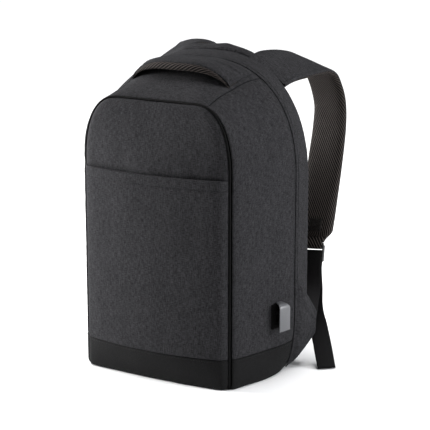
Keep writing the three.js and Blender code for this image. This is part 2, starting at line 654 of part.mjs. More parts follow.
// The long webbing: sewn to the inside of the anchor, up behind the lock, round its second bar, down
// again and loose to the floor.
function longWebbing(side, name) {
  const end = strapEnd(side);
  const across = end.across;
  const turned = (share, from, to) => from.clone().lerp(to, share).normalize();
  const sewn = vec(-side * 0.13, -0.99, 0);
  const anchor = vec(side * (backHalf - wingFlare / 8), bodyDepth + wingReach * 0.61, wingTipHeight * 1.07);
  const inside = fromEnd(end, 0, lockBars[2] + lockRun, padPlane - barReach);
  const outside = fromEnd(end, 0, lockBars[2] + lockRun, padPlane + barReach);
  const floorEnd = vec(side * (backHalf + tailFlare), bodyDepth - tailTuck, tailClear);
  const floorWidth = vec(-side * 0.75, -0.66, 0);
  const rows = [
    { at: anchor, width: sewn },
    { at: anchor.clone().lerp(inside, 0.12).add(vec((side * wingFlare) / 8, 0, 0)), width: sewn },
    { at: anchor.clone().lerp(inside, 0.4), width: turned(0.3, sewn, across) },
    { at: anchor.clone().lerp(inside, 0.75), width: turned(0.8, sewn, across) },
    { at: inside, width: across },
    { at: fromEnd(end, 0, lockBars[2], padPlane - barReach), width: across },
  ];
  for (let i = 0; i <= 8; i++) {
    const a = (i / 8) * Math.PI;
    const down = lockBars[1] - barReach * Math.sin(a);
    rows.push({ at: fromEnd(end, 0, down, padPlane - barReach * Math.cos(a)), width: across });
  }
  rows.push({ at: fromEnd(end, 0, lockBars[2], padPlane + barReach), width: across });
  rows.push({ at: outside, width: across });
  for (const { run, inwards, back, turn } of tailSections) {
    const at = outside.clone().lerp(floorEnd, run);
    at.add(vec(-side * inwards * webbingWidth, back * webbingWidth, 0));
    rows.push({ at, width: turned(turn, across, floorWidth) });
  }
  return piece(name, band(rows, webbingWidth, webbingThickness, 3 * (rows.length - 1)), webbing);
}

// The small box-stitched patch on the pad's inner face.
function stitchedPatch(side, name) {
  const frames = strapFrames(side, strapSteps);
  const place = Math.round(strapSteps * 0.935);
  const f = frames[place];
  const before = frames[place - 1];
  const across = f.width.clone().normalize();
  const down = f.centre.clone().sub(before.centre);
  down.addScaledVector(across, -down.dot(across)).normalize();
  const lowest = -(strapPad + 2 * seamGap + patchThickness / 2 + 0.4);
  const geometry = new THREE.BoxGeometry(patchSize, patchSize, patchThickness);
  const basis = new THREE.Matrix4().makeBasis(across, down, across.clone().cross(down));
  geometry.applyMatrix4(basis.setPosition(f.centre.clone().addScaledVector(f.normal, lowest)));
  return piece(name, geometry, webbing);
}

// The padded wing of cloth that the long webbing is sewn to, from the side seam to its blunt tip.
function anchorWing(side, name) {
  const rows = [0, 0.12, 0.25, 0.38, 0.5, 0.62, 0.74, 0.86, 1];
  const columns = [0, 0.15, 0.35, 0.55, 0.75, 0.9, 1];
  const s = section(zipSeamDepth);
  const offset = wingThickness + 2 * seamGap;
  const grid = rows.map((down) => columns.map((out) => {
    const z = lerp(wingHeight, seamGap + 1, down);
    const slope = (halfWidth(s, z + 1) - halfWidth(s, z)) * offset;
    const seam = vec(halfWidth(s, z) + Math.hypot(offset, slope), zipSeamDepth + seamGap, z);
    const tip = wingTipHigh.clone().lerp(wingTipLow, down);
    const p = seam.lerp(tip, out);
    const belly = Math.sin(Math.PI * out);
    return vec(side * (p.x + wingBelly * belly), p.y, p.z);
  }));
  const shell = panel(grid, wingThickness, { away: vec(0, baseMiddle, wingHeight / 2) });
  return piece(name, shell, fabric);
}

// The top panel's height at a place on it.
function topHeight(x, y) {
  const s = section(y);
  const past = Math.abs(x) - s.flat;
  if (past <= 0) return s.top;
  const share = Math.min(1, past / (s.half - s.flat));
  return s.top - s.drop * (1 - (1 - share ** shoulderPower) ** (1 / shoulderPower));
}

// The handle is a hood over the back of the top panel, with padded mesh under its free front edge to
// hold the bag by. share runs across it from -1 to 1, and back from 0 at the free edge to 1 at the seam.
function handlePoint(share, back, depth) {
  const front = handleFront + handleBow * share * share;
  const y = lerp(front, zipSeamDepth - handleSeam, back);
  const x = share * (handleSpan / 2 + handleFlare * back);
  const arch = (1 - Math.abs(share) ** 2.8) ** 0.8;
  const lift = (handleLift - handleSheet) * arch * (1 - smooth(back));
  return vec(x, y, topHeight(x, y) + 2 * seamGap + handleSheet + lift - depth);
}

const handleShares = [0, 0.19, 0.38, 0.56, 0.72, 0.84, 0.92, 0.97, 1];
const handleColumns = [...handleShares.slice(1).reverse().map((share) => -share), ...handleShares];

function handlePieces() {
  const backs = [0, 0.05, 0.12, 0.22, 0.35, 0.5, 0.62, 0.8, 1];
  const grid = (shares, rows, depthAt) => shares.map((share) => rows.map((back) => {
    return handlePoint(share, back, depthAt(share, back));
  }));
  const lined = handleColumns.slice(2, -2);
  const linedBacks = backs.slice(0, 7);
  const widest = Math.abs(lined[0]);
  const top = handleSheet + 1.5 * seamGap;
  const thickness = (share, back) => {
    const across = 1 - (Math.abs(share) / widest) ** 3;
    const roll = 1 - smooth((back - 0.1) / 0.55);
    return 0.4 + (handleLining - 0.4) * across * roll;
  };
  return [
    piece("grab_handle", between(
      grid(handleColumns, backs, () => 0),
      grid(handleColumns, backs, () => handleSheet),
    ), fabric),
    piece("handle_lining", between(
      grid(lined, linedBacks, () => top),
      grid(lined, linedBacks, (share, back) => top + thickness(share, back)),
    ), airMesh),
  ];
}

// The padded roll between the straps' roots.
function strapYoke() {
  const steps = 12;
  const frames = Array.from({ length: steps + 1 }, (_, i) => {
    const share = (2 * i) / steps - 1;
    const x = (share * yokeRun) / 2;
    const centre = vec(x, bodyDepth + seamGap + yokeDepth / 2, topHeight(x, bodyDepth) - 1);
    const taper = Math.sqrt(Math.max(0.12, 1 - share ** 4));
    return { centre, width: vec(0, yokeDepth / 2, 0), normal: vec(0, 0, 1), taper };
  });
  const outlineAt = (f) => Array.from({ length: 12 }, (_, k) => {
    const a = (k / 12) * Math.PI * 2;
    const up = Math.sin(a) > 0 ? yokeRise : yokeHang;
    return [Math.cos(a) * (0.75 + 0.25 * f.taper), Math.sin(a) * up * f.taper];
  });
  return piece("strap_yoke", sweep(frames, outlineAt), fabric);
}

// A rectangle with its lower corner at the origin and its far upper corner rounded.
function roundedCorner(wide, high, radius) {
  const outline = new THREE.Shape();
  outline.moveTo(0, 0).lineTo(wide, 0).lineTo(wide, high - radius);
  outline.absarc(wide - radius, high - radius, radius, 0, Math.PI / 2, false);
  outline.lineTo(0, high);
  return outline;
}

// A hood's solid in its own frame: X along it to the rear, Y up and Z out of the cloth. Its upper rear
// corner is rounded as seen from the side, and its upper outer corner as seen along it.
function hoodSolid(run, high, deep, radius) {
  const plain = { bevelEnabled: false, curveSegments: 6 };
  const fromSide = new THREE.ExtrudeGeometry(roundedCorner(run, high, radius), { ...plain, depth: deep });
  const along = new THREE.ExtrudeGeometry(roundedCorner(deep, high, radius * 0.7), { ...plain, depth: run });
  const turn = new THREE.Matrix4().makeBasis(vec(0, 0, 1), vec(0, 1, 0), vec(-1, 0, 0));
  along.applyMatrix4(turn.setPosition(run, 0, 0));
  return solid(fromSide).intersect(solid(along));
}

// The charging port: a hood open towards the front, with a socket block inside it.
function portPieces() {
  const z = portFloor;
  const middle = z + portHeight / 2;
  const wallAt = (y) => vec(halfWidth(section(y), middle), y, z);
  const [front, rear] = [portPlace - portRun / 2, portPlace + portRun / 2];
  const along = wallAt(rear).sub(wallAt(front)).normalize();
  const up = vec(0, 0, 1);
  const out = along.clone().cross(up);
  const place = wallAt(front).addScaledVector(out, 3 * seamGap);
  const frame = new THREE.Matrix4().makeBasis(along, up, out).setPosition(place);
  const put = (made) => geometryOf(made).applyMatrix4(frame);
  const box = (a, u, o, long, high, deep) => {
    return solid(new THREE.BoxGeometry(long, high, deep).translate(a + long / 2, u + high / 2, o + deep / 2));
  };
  const cavity = hoodSolid(portRun, portHeight - 2 * portShell, portDepth, portRound - portShell);
  const hood = hoodSolid(portRun, portHeight, portDepth, portRound)
    .subtract(cavity.translate([-portShell, portShell, -portShell]));
  const deep = portDepth - 2 * portShell;
  const [blockStart, blockRun, blockFoot, blockHeight] = [0.2, 0.45, 0.21, 0.5];
  const block = box(
    portRun * blockStart, portHeight * blockFoot, -seamGap * 1.5,
    portRun * blockRun, portHeight * blockHeight, deep - seamGap * 3,
  );
  const socket = box(
    0, portHeight * (blockFoot + 0.1), deep * 0.25,
    portRun * blockRun, portHeight * (blockHeight - 0.2), deep * 0.45,
  );
  return [
    piece("port_hood", put(hood), portPlastic),
    piece("port_socket", put(block.subtract(socket)), plastic),
  ];
}

const backpack = new THREE.Group();
const body = new THREE.Group();
body.position.set(0, -baseMiddle, 0);
backpack.add(body);

body.add(basePanel(), topPanel(), rearGusset(), backPad(), frontPiping(), strapYoke());
body.add(...frontPieces(), ...handlePieces(), ...portPieces());
for (const [side, word] of [[1, "right"], [-1, "left"]]) {
  body.add(
    sidePanel(side, "side_panel_" + word),
    anchorWing(side, "anchor_wing_" + word),
    strapCoverPiece(side, "strap_cover_" + word),
    strapPadPiece(side, "strap_pad_" + word),
    stitchedPatch(side, "strap_patch_" + word),
    lockLoop(side, "lock_loop_" + word),
    ladderLock(side, "ladder_lock_" + word),
    longWebbing(side, "strap_webbing_" + word),
  );
}

export default backpack;
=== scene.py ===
# %% [markdown]
# # Dressing a laptop backpack
# The CAD model gives every piece its place and its outline. This lesson puts the real surfaces on it:
# padded heather cloth, spacer mesh, webbing, piping, stitches and a moulded charging port. Each cell
# makes one thing and prints what it made. Lengths are in millimetres until the last step, which turns
# them into metres.

import bpy
import bmesh
import json
import math
import numpy as np
from mathutils import Matrix, Vector

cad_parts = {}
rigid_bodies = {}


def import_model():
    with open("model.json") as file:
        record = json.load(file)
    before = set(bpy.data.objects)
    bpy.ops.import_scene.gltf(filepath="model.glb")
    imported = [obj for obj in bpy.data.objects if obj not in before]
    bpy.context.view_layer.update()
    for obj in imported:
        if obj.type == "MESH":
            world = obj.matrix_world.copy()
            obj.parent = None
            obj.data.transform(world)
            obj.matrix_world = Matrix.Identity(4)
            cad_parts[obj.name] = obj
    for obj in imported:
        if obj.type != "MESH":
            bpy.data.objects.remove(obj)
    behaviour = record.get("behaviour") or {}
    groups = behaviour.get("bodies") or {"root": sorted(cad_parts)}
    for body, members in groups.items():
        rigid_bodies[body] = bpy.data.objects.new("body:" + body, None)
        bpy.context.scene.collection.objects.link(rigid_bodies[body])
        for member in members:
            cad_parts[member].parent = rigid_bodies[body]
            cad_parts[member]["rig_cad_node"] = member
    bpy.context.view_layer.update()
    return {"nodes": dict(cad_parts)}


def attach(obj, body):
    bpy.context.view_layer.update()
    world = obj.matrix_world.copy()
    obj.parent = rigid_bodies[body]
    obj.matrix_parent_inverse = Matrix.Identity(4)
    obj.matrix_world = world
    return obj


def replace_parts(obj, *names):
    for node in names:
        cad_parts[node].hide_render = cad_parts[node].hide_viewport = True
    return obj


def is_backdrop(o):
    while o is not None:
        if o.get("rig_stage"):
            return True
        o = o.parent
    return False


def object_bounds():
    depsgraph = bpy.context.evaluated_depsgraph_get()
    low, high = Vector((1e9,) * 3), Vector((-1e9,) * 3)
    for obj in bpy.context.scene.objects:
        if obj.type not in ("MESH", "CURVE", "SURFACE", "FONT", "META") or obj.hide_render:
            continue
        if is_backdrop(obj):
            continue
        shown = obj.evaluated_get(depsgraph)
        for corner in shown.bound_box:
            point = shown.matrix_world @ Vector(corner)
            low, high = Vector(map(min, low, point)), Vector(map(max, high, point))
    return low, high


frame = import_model()

# %% [markdown]
# ## Camera
# The photograph was taken with a long lens, about 30 degrees round to the right and a little above the
# bag. A long lens keeps upright edges nearly parallel.

# %% Camera at the photograph's angle
AIM = Vector((0.088, -0.056, 0.233))
AZIMUTH, ELEVATION, DISTANCE = math.radians(30), math.radians(13.7), 2.0
back_off = Vector((
    math.sin(AZIMUTH) * math.cos(ELEVATION),
    -math.cos(AZIMUTH) * math.cos(ELEVATION),
    math.sin(ELEVATION),
))
camera = bpy.data.objects.new("camera", bpy.data.cameras.new("camera"))
camera.data.lens = 131.0
camera.data.sensor_width = 36.0
camera.data.clip_end = 60
camera.location = AIM + back_off * DISTANCE
camera.rotation_euler = (-back_off).to_track_quat("-Z", "Y").to_euler()
bpy.context.scene.collection.objects.link(camera)
bpy.context.scene.camera = camera
print("camera at", [round(v, 3) for v in camera.location])

# %% [markdown]
# ## Floor and light
# A product studio lights dark cloth from both sides with large soft boxes, so that the front falls off
# into shade towards the corner between them. A wide soft lamp from above whitens the floor. The floor is
# one large pale sheet, which fills the picture behind the bag.

# %% Floor and soft studio light
OVERHEAD_POWER, LEFT_POWER, RIGHT_POWER, ROOM_GLOW = 3.5, 218, 66, 0.1


def paint(name, colour, roughness=0.6):
    """A plain material for the studio floor."""
    material = bpy.data.materials.new(name)
    material.use_nodes = True
    shader = material.node_tree.nodes["Principled BSDF"]
    shader.inputs["Base Color"].default_value = (*colour, 1)
    shader.inputs["Roughness"].default_value = roughness
    return material


floor_mesh = bpy.data.meshes.new("floor")
floor_mesh.from_pydata([(-30, -30, 0), (30, -30, 0), (30, 30, 0), (-30, 30, 0)], [], [(0, 1, 2, 3)])
floor = bpy.data.objects.new("floor", floor_mesh)
floor.data.materials.append(paint("floor_paper", (0.86, 0.86, 0.865), 0.9))
bpy.context.scene.collection.objects.link(floor)
floor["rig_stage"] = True

world = bpy.data.worlds.new("studio")
world.use_nodes = True
world.node_tree.nodes["Background"].inputs["Color"].default_value = (0.97, 0.98, 1, 1)
world.node_tree.nodes["Background"].inputs["Strength"].default_value = ROOM_GLOW
bpy.context.scene.world = world
bpy.context.scene.view_settings.view_transform = "Standard"


def soft_box(name, place, power, width, height, target=(0, 0, 0.2), colour=(1, 1, 1)):
    """An area light at a place, turned to the target."""
    lamp = bpy.data.lights.new(name, "AREA")
    lamp.shape = "RECTANGLE"
    lamp.size, lamp.size_y = width, height
    lamp.energy, lamp.color = power, colour
    made = bpy.data.objects.new(name, lamp)
    made.location = place
    made.rotation_euler = (Vector(target) - Vector(place)).to_track_quat("-Z", "Y").to_euler()
    bpy.context.scene.collection.objects.link(made)
    return made


overhead = bpy.data.objects.new("overhead", bpy.data.lights.new("overhead", "SUN"))
overhead.data.energy, overhead.data.angle = OVERHEAD_POWER, math.radians(50)
overhead.rotation_euler = Vector((0, -0.12, -1)).to_track_quat("-Z", "Y").to_euler()
bpy.context.scene.collection.objects.link(overhead)
soft_box("left_box", (-2.3, -0.64, 0.6), LEFT_POWER, 0.8, 1.5)
soft_box("right_box", (2.2, 0.75, 0.75), RIGHT_POWER, 0.9, 1.5, colour=(0.97, 0.98, 1))

# %% [markdown]
# ## The bag's measures
# A sewn bag is cut from patterns, and the CAD source keeps those as a few lengths and a table of its
# sections. The same numbers are written again here, so that every fine surface lies exactly where its
# coarse solid is. The table's columns are: depth, spread, rise, flat, drop, foot run, foot rise and turn.

# %% Lengths and cross-sections
FRONT_HALF, FRONT_HEIGHT, FRONT_TOP = 110.0, 374.0, 116.0
BACK_HALF, BODY_HEIGHT, BODY_DEPTH = 148.0, 423.0, 147.0
SHOULDER_DROP, SHOULDER_POWER = 173.0, 2.35
ZIP_DEPTH, TRIM_HEIGHT, POCKET_HEIGHT = 112.0, 42.0, 280.0
SEAM_GAP = 0.3
BODY_ROWS = np.array([
    (0, 0, 0, 1, 0.53, 0.08, 0.2, 74),
    (0.02, 0.14, 0.05, 0.9, 0.54, 0.08, 0.2, 71.5),
    (0.07, 0.24, 0.13, 0.7, 0.57, 0.09, 0.25, 67.3),
    (0.38, 0.62, 0.47, 0.22, 0.7, 0.1, 0.5, 61.4),
    (0.6, 0.84, 0.73, 0.16, 0.8, 0.22, 1.1, 59),
    (0.762, 0.95, 0.88, 0.14, 0.88, 0.45, 1.9, 56),
    (1, 1, 1, 0.07, 1, 0.8, 1.8, 52),
])


def row_value(rows, keys, column):
    """One column of a table at each key, on a smooth line through the rows."""
    x, y = rows[:, 0], rows[:, column]
    slope = np.diff(y) / np.diff(x)
    both = slope[:-1] * slope[1:]
    total = np.where(both > 0, slope[:-1] + slope[1:], 1)
    tangent = np.concatenate([slope[:1], np.where(both > 0, 2 * both / total, 0), slope[-1:]])
    i = np.clip(np.searchsorted(x, keys, side="right") - 1, 0, len(x) - 2)
    span = x[i + 1] - x[i]
    t = np.clip((keys - x[i]) / span, 0, 1)
    return ((2 * t**3 - 3 * t**2 + 1) * y[i] + (t**3 - 2 * t**2 + t) * span * tangent[i]
            + (3 * t**2 - 2 * t**3) * y[i + 1] + (t**3 - t**2) * span * tangent[i + 1])


def section(y):
    """The body's cross-section at each depth behind the front seam."""
    key = np.clip(np.asarray(y, float) / BODY_DEPTH, 0, 1)
    spread, rise, flat, drop, run, lift, turn = (row_value(BODY_ROWS, key, c) for c in range(1, 8))
    return {
        "half": FRONT_HALF + (BACK_HALF - FRONT_HALF) * spread,
        "top": FRONT_HEIGHT + (BODY_HEIGHT - FRONT_HEIGHT) * rise,
        "flat": flat * FRONT_TOP / 2,
        "drop": drop * SHOULDER_DROP,
        "foot_run": run * TRIM_HEIGHT,
        "foot_rise": lift * TRIM_HEIGHT,
        "turn": np.radians(turn),
    }


def section_at(y):
    """The section at one depth, as plain numbers."""
    return {k: float(v[0]) for k, v in section(np.array([y])).items()}


def half_width(s, z):
    """Half the width of a section at a height under its shoulder."""
    left = np.maximum(0, 1 - z / s["foot_rise"])
    return s["half"] - s["foot_run"] * (1 - np.sqrt(np.maximum(0, 1 - left * left)))


def shoulder_curve(share):
    """The width left at a share of a shoulder's height, or the height at a share of its width."""
    return (1 - share**SHOULDER_POWER) ** (1 / SHOULDER_POWER)


def shoulder(s, angle):
    """Across and up on the section's rounded shoulder, from 0 at its foot to a quarter turn at the top."""
    x = s["flat"] + (s["half"] - s["flat"]) * np.maximum(0, np.cos(angle)) ** (2 / SHOULDER_POWER)
    z = s["top"] - s["drop"] * (1 - np.maximum(0, np.sin(angle)) ** (2 / SHOULDER_POWER))
    return x, z


def foot_line(s, t):
    z = TRIM_HEIGHT * (1 - np.cos(t * math.pi / 2))
    return half_width(s, z), z + 0 * s["half"]


def side_line(s, t):
    z = TRIM_HEIGHT + (s["top"] - s["drop"] - TRIM_HEIGHT) * t
    return half_width(s, z), z


STRETCHES = {
    "floor": lambda s, t: ((s["half"] - s["foot_run"]) * t, 0 * t * s["half"]),
    "foot": foot_line,
    "side": side_line,
    "shoulder_side": lambda s, t: shoulder(s, s["turn"] * t),
    "shoulder_top": lambda s, t: shoulder(s, s["turn"] + (math.pi / 2 - s["turn"]) * t),
    "top": lambda s, t: (s["flat"] * (1 - t), s["top"] + 0 * t),
}


def outline(plan, y, shares):
    """Points along the plan's stretches, evenly by length, at each depth y: rows by depths by 3."""
    s = section(y)
    xs, zs = [], []
    for number, (name, side) in enumerate(plan):
        t = np.linspace(0, 1, 49)[:, None]
        t = (t if side > 0 else 1 - t)[1 if number else 0:]
        x, z = STRETCHES[name](s, t)
        xs.append(side * x)
        zs.append(z)
    x, z = np.concatenate(xs), np.concatenate(zs)
    step = np.hypot(np.diff(x, axis=0), np.diff(z, axis=0))
    run = np.concatenate([np.zeros((1, len(y))), np.cumsum(step, 0)])
    points = np.zeros((len(shares), len(y), 3))
    for c, depth in enumerate(y):
        at = shares * run[-1, c]
        points[:, c] = np.stack([np.interp(at, run[:, c], x[:, c]), at * 0 + depth,
                                 np.interp(at, run[:, c], z[:, c])], -1)
    return points


print("back edge:", {k: round(v, 1) for k, v in section_at(BODY_DEPTH).items()})

# %% [markdown]
# ## Cloth noise
# Real cloth is never flat: it has broad soft dents, and it puckers beside each seam, where the thread
# pulls it together. A picture could drive that, but a small noise made from a hash of lattice points
# needs no file and gives the same dents on every run.

# %% Repeatable noise
def hashed(i, j, k, seed):
    n = (i * 374761393 + j * 668265263 + k * 1440662683 + seed * 1274126177) & 0xFFFFFFFF
    n = ((n ^ (n >> 13)) * 1274126177) & 0xFFFFFFFF
    return ((n ^ (n >> 16)) & 0xFFFF) / 32767.5 - 1


def noise(points, size, seed=0):
    """Smooth noise from -1 to 1 at each point. size is the width of its dents."""
    p = np.asarray(points, float) / np.asarray(size, float) + 1000.0
    base = np.floor(p).astype(np.int64)
    f = p - base
    f = f * f * (3 - 2 * f)
    total = 0
    for corner in range(8):
        bits = [(corner >> b) & 1 for b in range(3)]
        weight = 1
        for axis, bit in enumerate(bits):
            weight = weight * (f[..., axis] if bit else 1 - f[..., axis])
        total = total + weight * hashed(*(base[..., a] + bits[a] for a in range(3)), seed)
    return total


def ease(t):
    t = np.clip(t, 0, 1)
    return t * t * (3 - 2 * t)


print("noise sample:", np.round(noise(np.array([[0, 0, 0], [30, 10, 5]]), 40, 3), 3))

# %% [markdown]
# ## Small tools for nodes
# Every finish below is a tree of shader nodes. A few helpers keep those trees readable: one makes a node
# and fills its sockets, and one does arithmetic.

# %% Node helpers
class Finish:
    """A material and its node tree, with short calls to add to it."""

    def __init__(self, name):
        self.material = bpy.data.materials.new(name)
        self.material.use_nodes = True
        self.tree = self.material.node_tree
        self.shader = self.tree.nodes["Principled BSDF"]

    def add(self, kind, out=0, settings=(), **inputs):
        node = self.tree.nodes.new(kind)
        for key, value in dict(settings).items():
            setattr(node, key, value)
        for key, value in inputs.items():
            numbered = key[0] == "i" and key[1:].isdigit()
            self.fill(node, int(key[1:]) if numbered else key.replace("_", " "), value)
        return node.outputs[out]

    def fill(self, node, key, value):
        socket = node.inputs[key]
        if isinstance(value, bpy.types.NodeSocket):
            self.tree.links.new(value, socket)
        else:
            socket.default_value = value

    def math(self, operation, a, b=0.0, c=0.0, clamp=False):
        settings = {"operation": operation, "use_clamp": clamp}
        return self.add("ShaderNodeMath", settings=settings, i0=a, i1=b, i2=c)

    def uv(self):
        """The piece's own map, in metres: across, along."""
        both = self.add("ShaderNodeUVMap", settings={"uv_map": "cloth"})
        parts = self.tree.nodes.new("ShaderNodeSeparateXYZ")
        self.tree.links.new(both, parts.inputs[0])
        return parts.outputs[0], parts.outputs[1]

    def vector(self, x, y, z=0.0):
        return self.add("ShaderNodeCombineXYZ", X=x, Y=y, Z=z)

    def grain(self, vector, scale, detail=0.0, rough=0.5):
        return self.add("ShaderNodeTexNoise", Vector=vector, Scale=scale, Detail=detail, Roughness=rough)

    def object_place(self):
        return self.add("ShaderNodeTexCoord", out=3)

    def ramp(self, value, stops):
        node = self.tree.nodes.new("ShaderNodeValToRGB")
        self.tree.links.new(value, node.inputs[0])
        ramp = node.color_ramp
        while len(ramp.elements) < len(stops):
            ramp.elements.new(0.5)
        for element, (place, colour) in zip(ramp.elements, stops):
            element.position, element.color = place, (*colour, 1)
        return node.outputs[0]

    def mix(self, factor, a, b, blend="MIX"):
        settings = {"data_type": "RGBA", "blend_type": blend}
        node = self.tree.nodes.new("ShaderNodeMix")
        for key, value in settings.items():
            setattr(node, key, value)
        for socket, value in ((node.inputs[0], factor), (node.inputs[6], a), (node.inputs[7], b)):
            if isinstance(value, bpy.types.NodeSocket):
                self.tree.links.new(value, socket)
            else:
                socket.default_value = (*value, 1) if isinstance(value, tuple) else value
        return node.outputs[2]

    def shaded(self, colour, value):
        """A colour made darker or lighter by a value."""
        grey = self.add("ShaderNodeCombineColor", Red=value, Green=value, Blue=value)
        return self.mix(1.0, colour, grey, "MULTIPLY")

    def done(self, colour, roughness, height, depth, strength=1.0, **plain):
        """Joins colour, roughness and bump to the shader. plain are numbers for its other sockets."""
        bump = self.add("ShaderNodeBump", Strength=strength, Distance=depth, Height=height)
        self.tree.links.new(bump, self.shader.inputs["Normal"])
        self.tree.links.new(colour, self.shader.inputs["Base Color"])
        if isinstance(roughness, bpy.types.NodeSocket):
            self.tree.links.new(roughness, self.shader.inputs["Roughness"])
        else:
            self.shader.inputs["Roughness"].default_value = roughness
        for key, value in plain.items():
            self.shader.inputs[key.replace("_", " ")].default_value = value
        return self.material


def plain_weave(f, pitch, u, v):
    """The threads of a plain weave: which one is on top, its own lengthwise noise, and its height."""
    across, along = f.math("DIVIDE", u, pitch), f.math("DIVIDE", v, pitch)
    cell_a, cell_b = f.math("FLOOR", across), f.math("FLOOR", along)
    over = f.math("MODULO", f.math("ADD", cell_a, cell_b), 2.0)
    over = f.math("ABSOLUTE", over)
    warp = f.grain(f.vector(f.math("MULTIPLY", cell_a, 0.737), f.math("MULTIPLY", along, 0.11)), 1.0)
    weft = f.grain(f.vector(f.math("MULTIPLY", across, 0.11), f.math("MULTIPLY", cell_b, 0.737), 7.3), 1.0)
    thread = f.add("ShaderNodeMix", i0=over, i2=warp, i3=weft)

    def hump(value):
        centred = f.math("SUBTRACT", f.math("FRACT", value), 0.5)
        return f.math("SUBTRACT", 1.0, f.math("MULTIPLY", f.math("MULTIPLY", centred, centred), 4.0))

    wide, long = hump(across), hump(along)
    top = f.math("MULTIPLY", wide, f.math("MULTIPLY_ADD", long, 0.5, 0.5))
    side = f.math("MULTIPLY", long, f.math("MULTIPLY_ADD", wide, 0.5, 0.5))
    height = f.add("ShaderNodeMix", i0=over, i2=top, i3=side)
    return thread, height


print("helpers ready")

# %% [markdown]
# ## Heather cloth
# The bag's cloth is a plain weave of melange yarn: each thread changes between charcoal and grey along
# its length. One flat grey would look like plastic. So the weave is computed from the cloth's own map,
# thread by thread, with painted shade between the threads, a slower mottling on top and a soft sheen
# from loose fibres.

# %% Heather cloth and black base cloth
def woven(name, pitch, dark, light, contrast, mottling, sheen, roughness=0.88):
    f = Finish(name)
    u, v = f.uv()
    thread, height = plain_weave(f, pitch, u, v)
    place = f.vector(u, v)
    fleck = f.grain(place, 1 / 0.0014, 1.0, 0.6)
    patch = f.grain(place, 1 / 0.035, 3.0, 0.6)
    melange = f.math("ADD", f.math("MULTIPLY", f.math("SUBTRACT", thread, 0.5), contrast),
                     f.math("MULTIPLY", f.math("SUBTRACT", fleck, 0.5), mottling))
    value = f.math("ADD", 0.5, melange, clamp=True)
    between = tuple((a + b) * 0.45 for a, b in zip(dark, light))
    colour = f.ramp(value, [(0.12, dark), (0.5, between), (0.9, light)])
    shade = f.math("MULTIPLY_ADD", f.math("SUBTRACT", patch, 0.5), 0.22, 1.0)
    colour = f.shaded(colour, shade)
    # Painted shade: each thread is darkened towards its edges and where it dips under its neighbours, so
    # that it looks round.
    thread_gap_shade = f.math("MULTIPLY_ADD", f.math("POWER", f.math("MAXIMUM", height, 0.0), 0.6), 0.75, 0.4)
    colour = f.shaded(colour, thread_gap_shade)
    rough = f.math("MULTIPLY_ADD", f.math("SUBTRACT", fleck, 0.5), 0.15, roughness)
    return f.done(colour, rough, height, pitch * 0.35, 0.6, Sheen_Weight=sheen, Sheen_Roughness=0.5,
                  Specular_IOR_Level=0.04)


heather = woven("heather_cloth", 0.0006, (0.0075, 0.0075, 0.0082), (0.041, 0.0405, 0.0435), 1.4, 0.45, 0.01)
base_cloth = woven("base_cloth", 0.00045, (0.005, 0.005, 0.0052), (0.0135, 0.0135, 0.0138), 1.2, 0.5,
                   0.015, 0.75)
piping_cloth = woven("piping_cloth", 0.0004, (0.003, 0.003, 0.0031), (0.0105, 0.0105, 0.0107), 1.2, 0.5,
                     0.0, 0.85)
print("cloth:", heather.name, base_cloth.name, piping_cloth.name)

# %% [markdown]
# ## Spacer mesh
# The straps, the handle and the back are faced with a thick knitted mesh. Its yarns run in slanted ribs
# that cross, with painted shade in each gap and painted highlights on the rib tops. Two families of sine
# waves in the cloth's map give those ribs, one stronger than the other, as on the real knit.

# %% Spacer mesh, webbing, thread and plastics
def spacer_mesh(name, pitch=0.0035, lean=1.0):
    f = Finish(name)
    u, v = f.uv()

    def ribs(sign):
        a, b = math.cos(lean) / pitch, sign * math.sin(lean) / pitch
        along = f.math("ADD", f.math("MULTIPLY", u, b), f.math("MULTIPLY", v, a))
        return f.math("MULTIPLY_ADD", f.math("SINE", f.math("MULTIPLY", along, 2 * math.pi)), 0.5, 0.5)

    strong, weak = ribs(1), ribs(-1)
    crossing = f.math("MULTIPLY", f.math("POWER", weak, 1.2), 0.72)
    yarn = f.math("MAXIMUM", f.math("POWER", strong, 0.8), crossing)
    fuzz = f.grain(f.vector(u, v), 1 / 0.0005, 1.0)
    # Painted shade and light: the gap colour is the shade in the mesh's holes, and the top colour is a
    # painted highlight on the ribs, scattered into specks by the fuzz.
    mesh_gap_shade, low, rib_top_highlight = (0.001, 0.0009, 0.0008), (0.007, 0.006, 0.0055), (0.07, 0.059, 0.054)
    colour = f.ramp(f.math("MULTIPLY_ADD", f.math("SUBTRACT", fuzz, 0.5), 0.45, yarn),
                    [(0.4, mesh_gap_shade), (0.72, low), (1.0, rib_top_highlight)])
    height = f.math("MULTIPLY_ADD", fuzz, 0.15, yarn)
    return f.done(colour, 0.8, height, 0.0007, 0.8, Sheen_Weight=0.01, Sheen_Roughness=0.4,
                  Specular_IOR_Level=0.06)


def webbing_cloth(name):
    f = Finish(name)
    u, v = f.uv()
    band = f.math("MODULO", f.math("FLOOR", f.math("DIVIDE", u, 0.0042)), 2.0)
    sign = f.math("MULTIPLY_ADD", band, 2.0, -1.0)
    slant = f.math("ADD", v, f.math("MULTIPLY", f.math("MULTIPLY", u, sign), 0.8))
    rib = f.math("MULTIPLY_ADD", f.math("SINE", f.math("MULTIPLY", slant, 2 * math.pi / 0.0013)), 0.5, 0.5)
    fuzz = f.grain(f.vector(u, v), 1 / 0.0006, 1.0)
    value = f.math("MULTIPLY_ADD", f.math("SUBTRACT", fuzz, 0.5), 0.35, rib)
    colour = f.ramp(value, [(0.0, (0.003, 0.0029, 0.003)), (0.6, (0.006, 0.0058, 0.006)),
                            (1.0, (0.0125, 0.012, 0.0125))])
    return f.done(colour, 0.8, rib, 0.0002, 0.6, Sheen_Weight=0.005, Specular_IOR_Level=0.05)


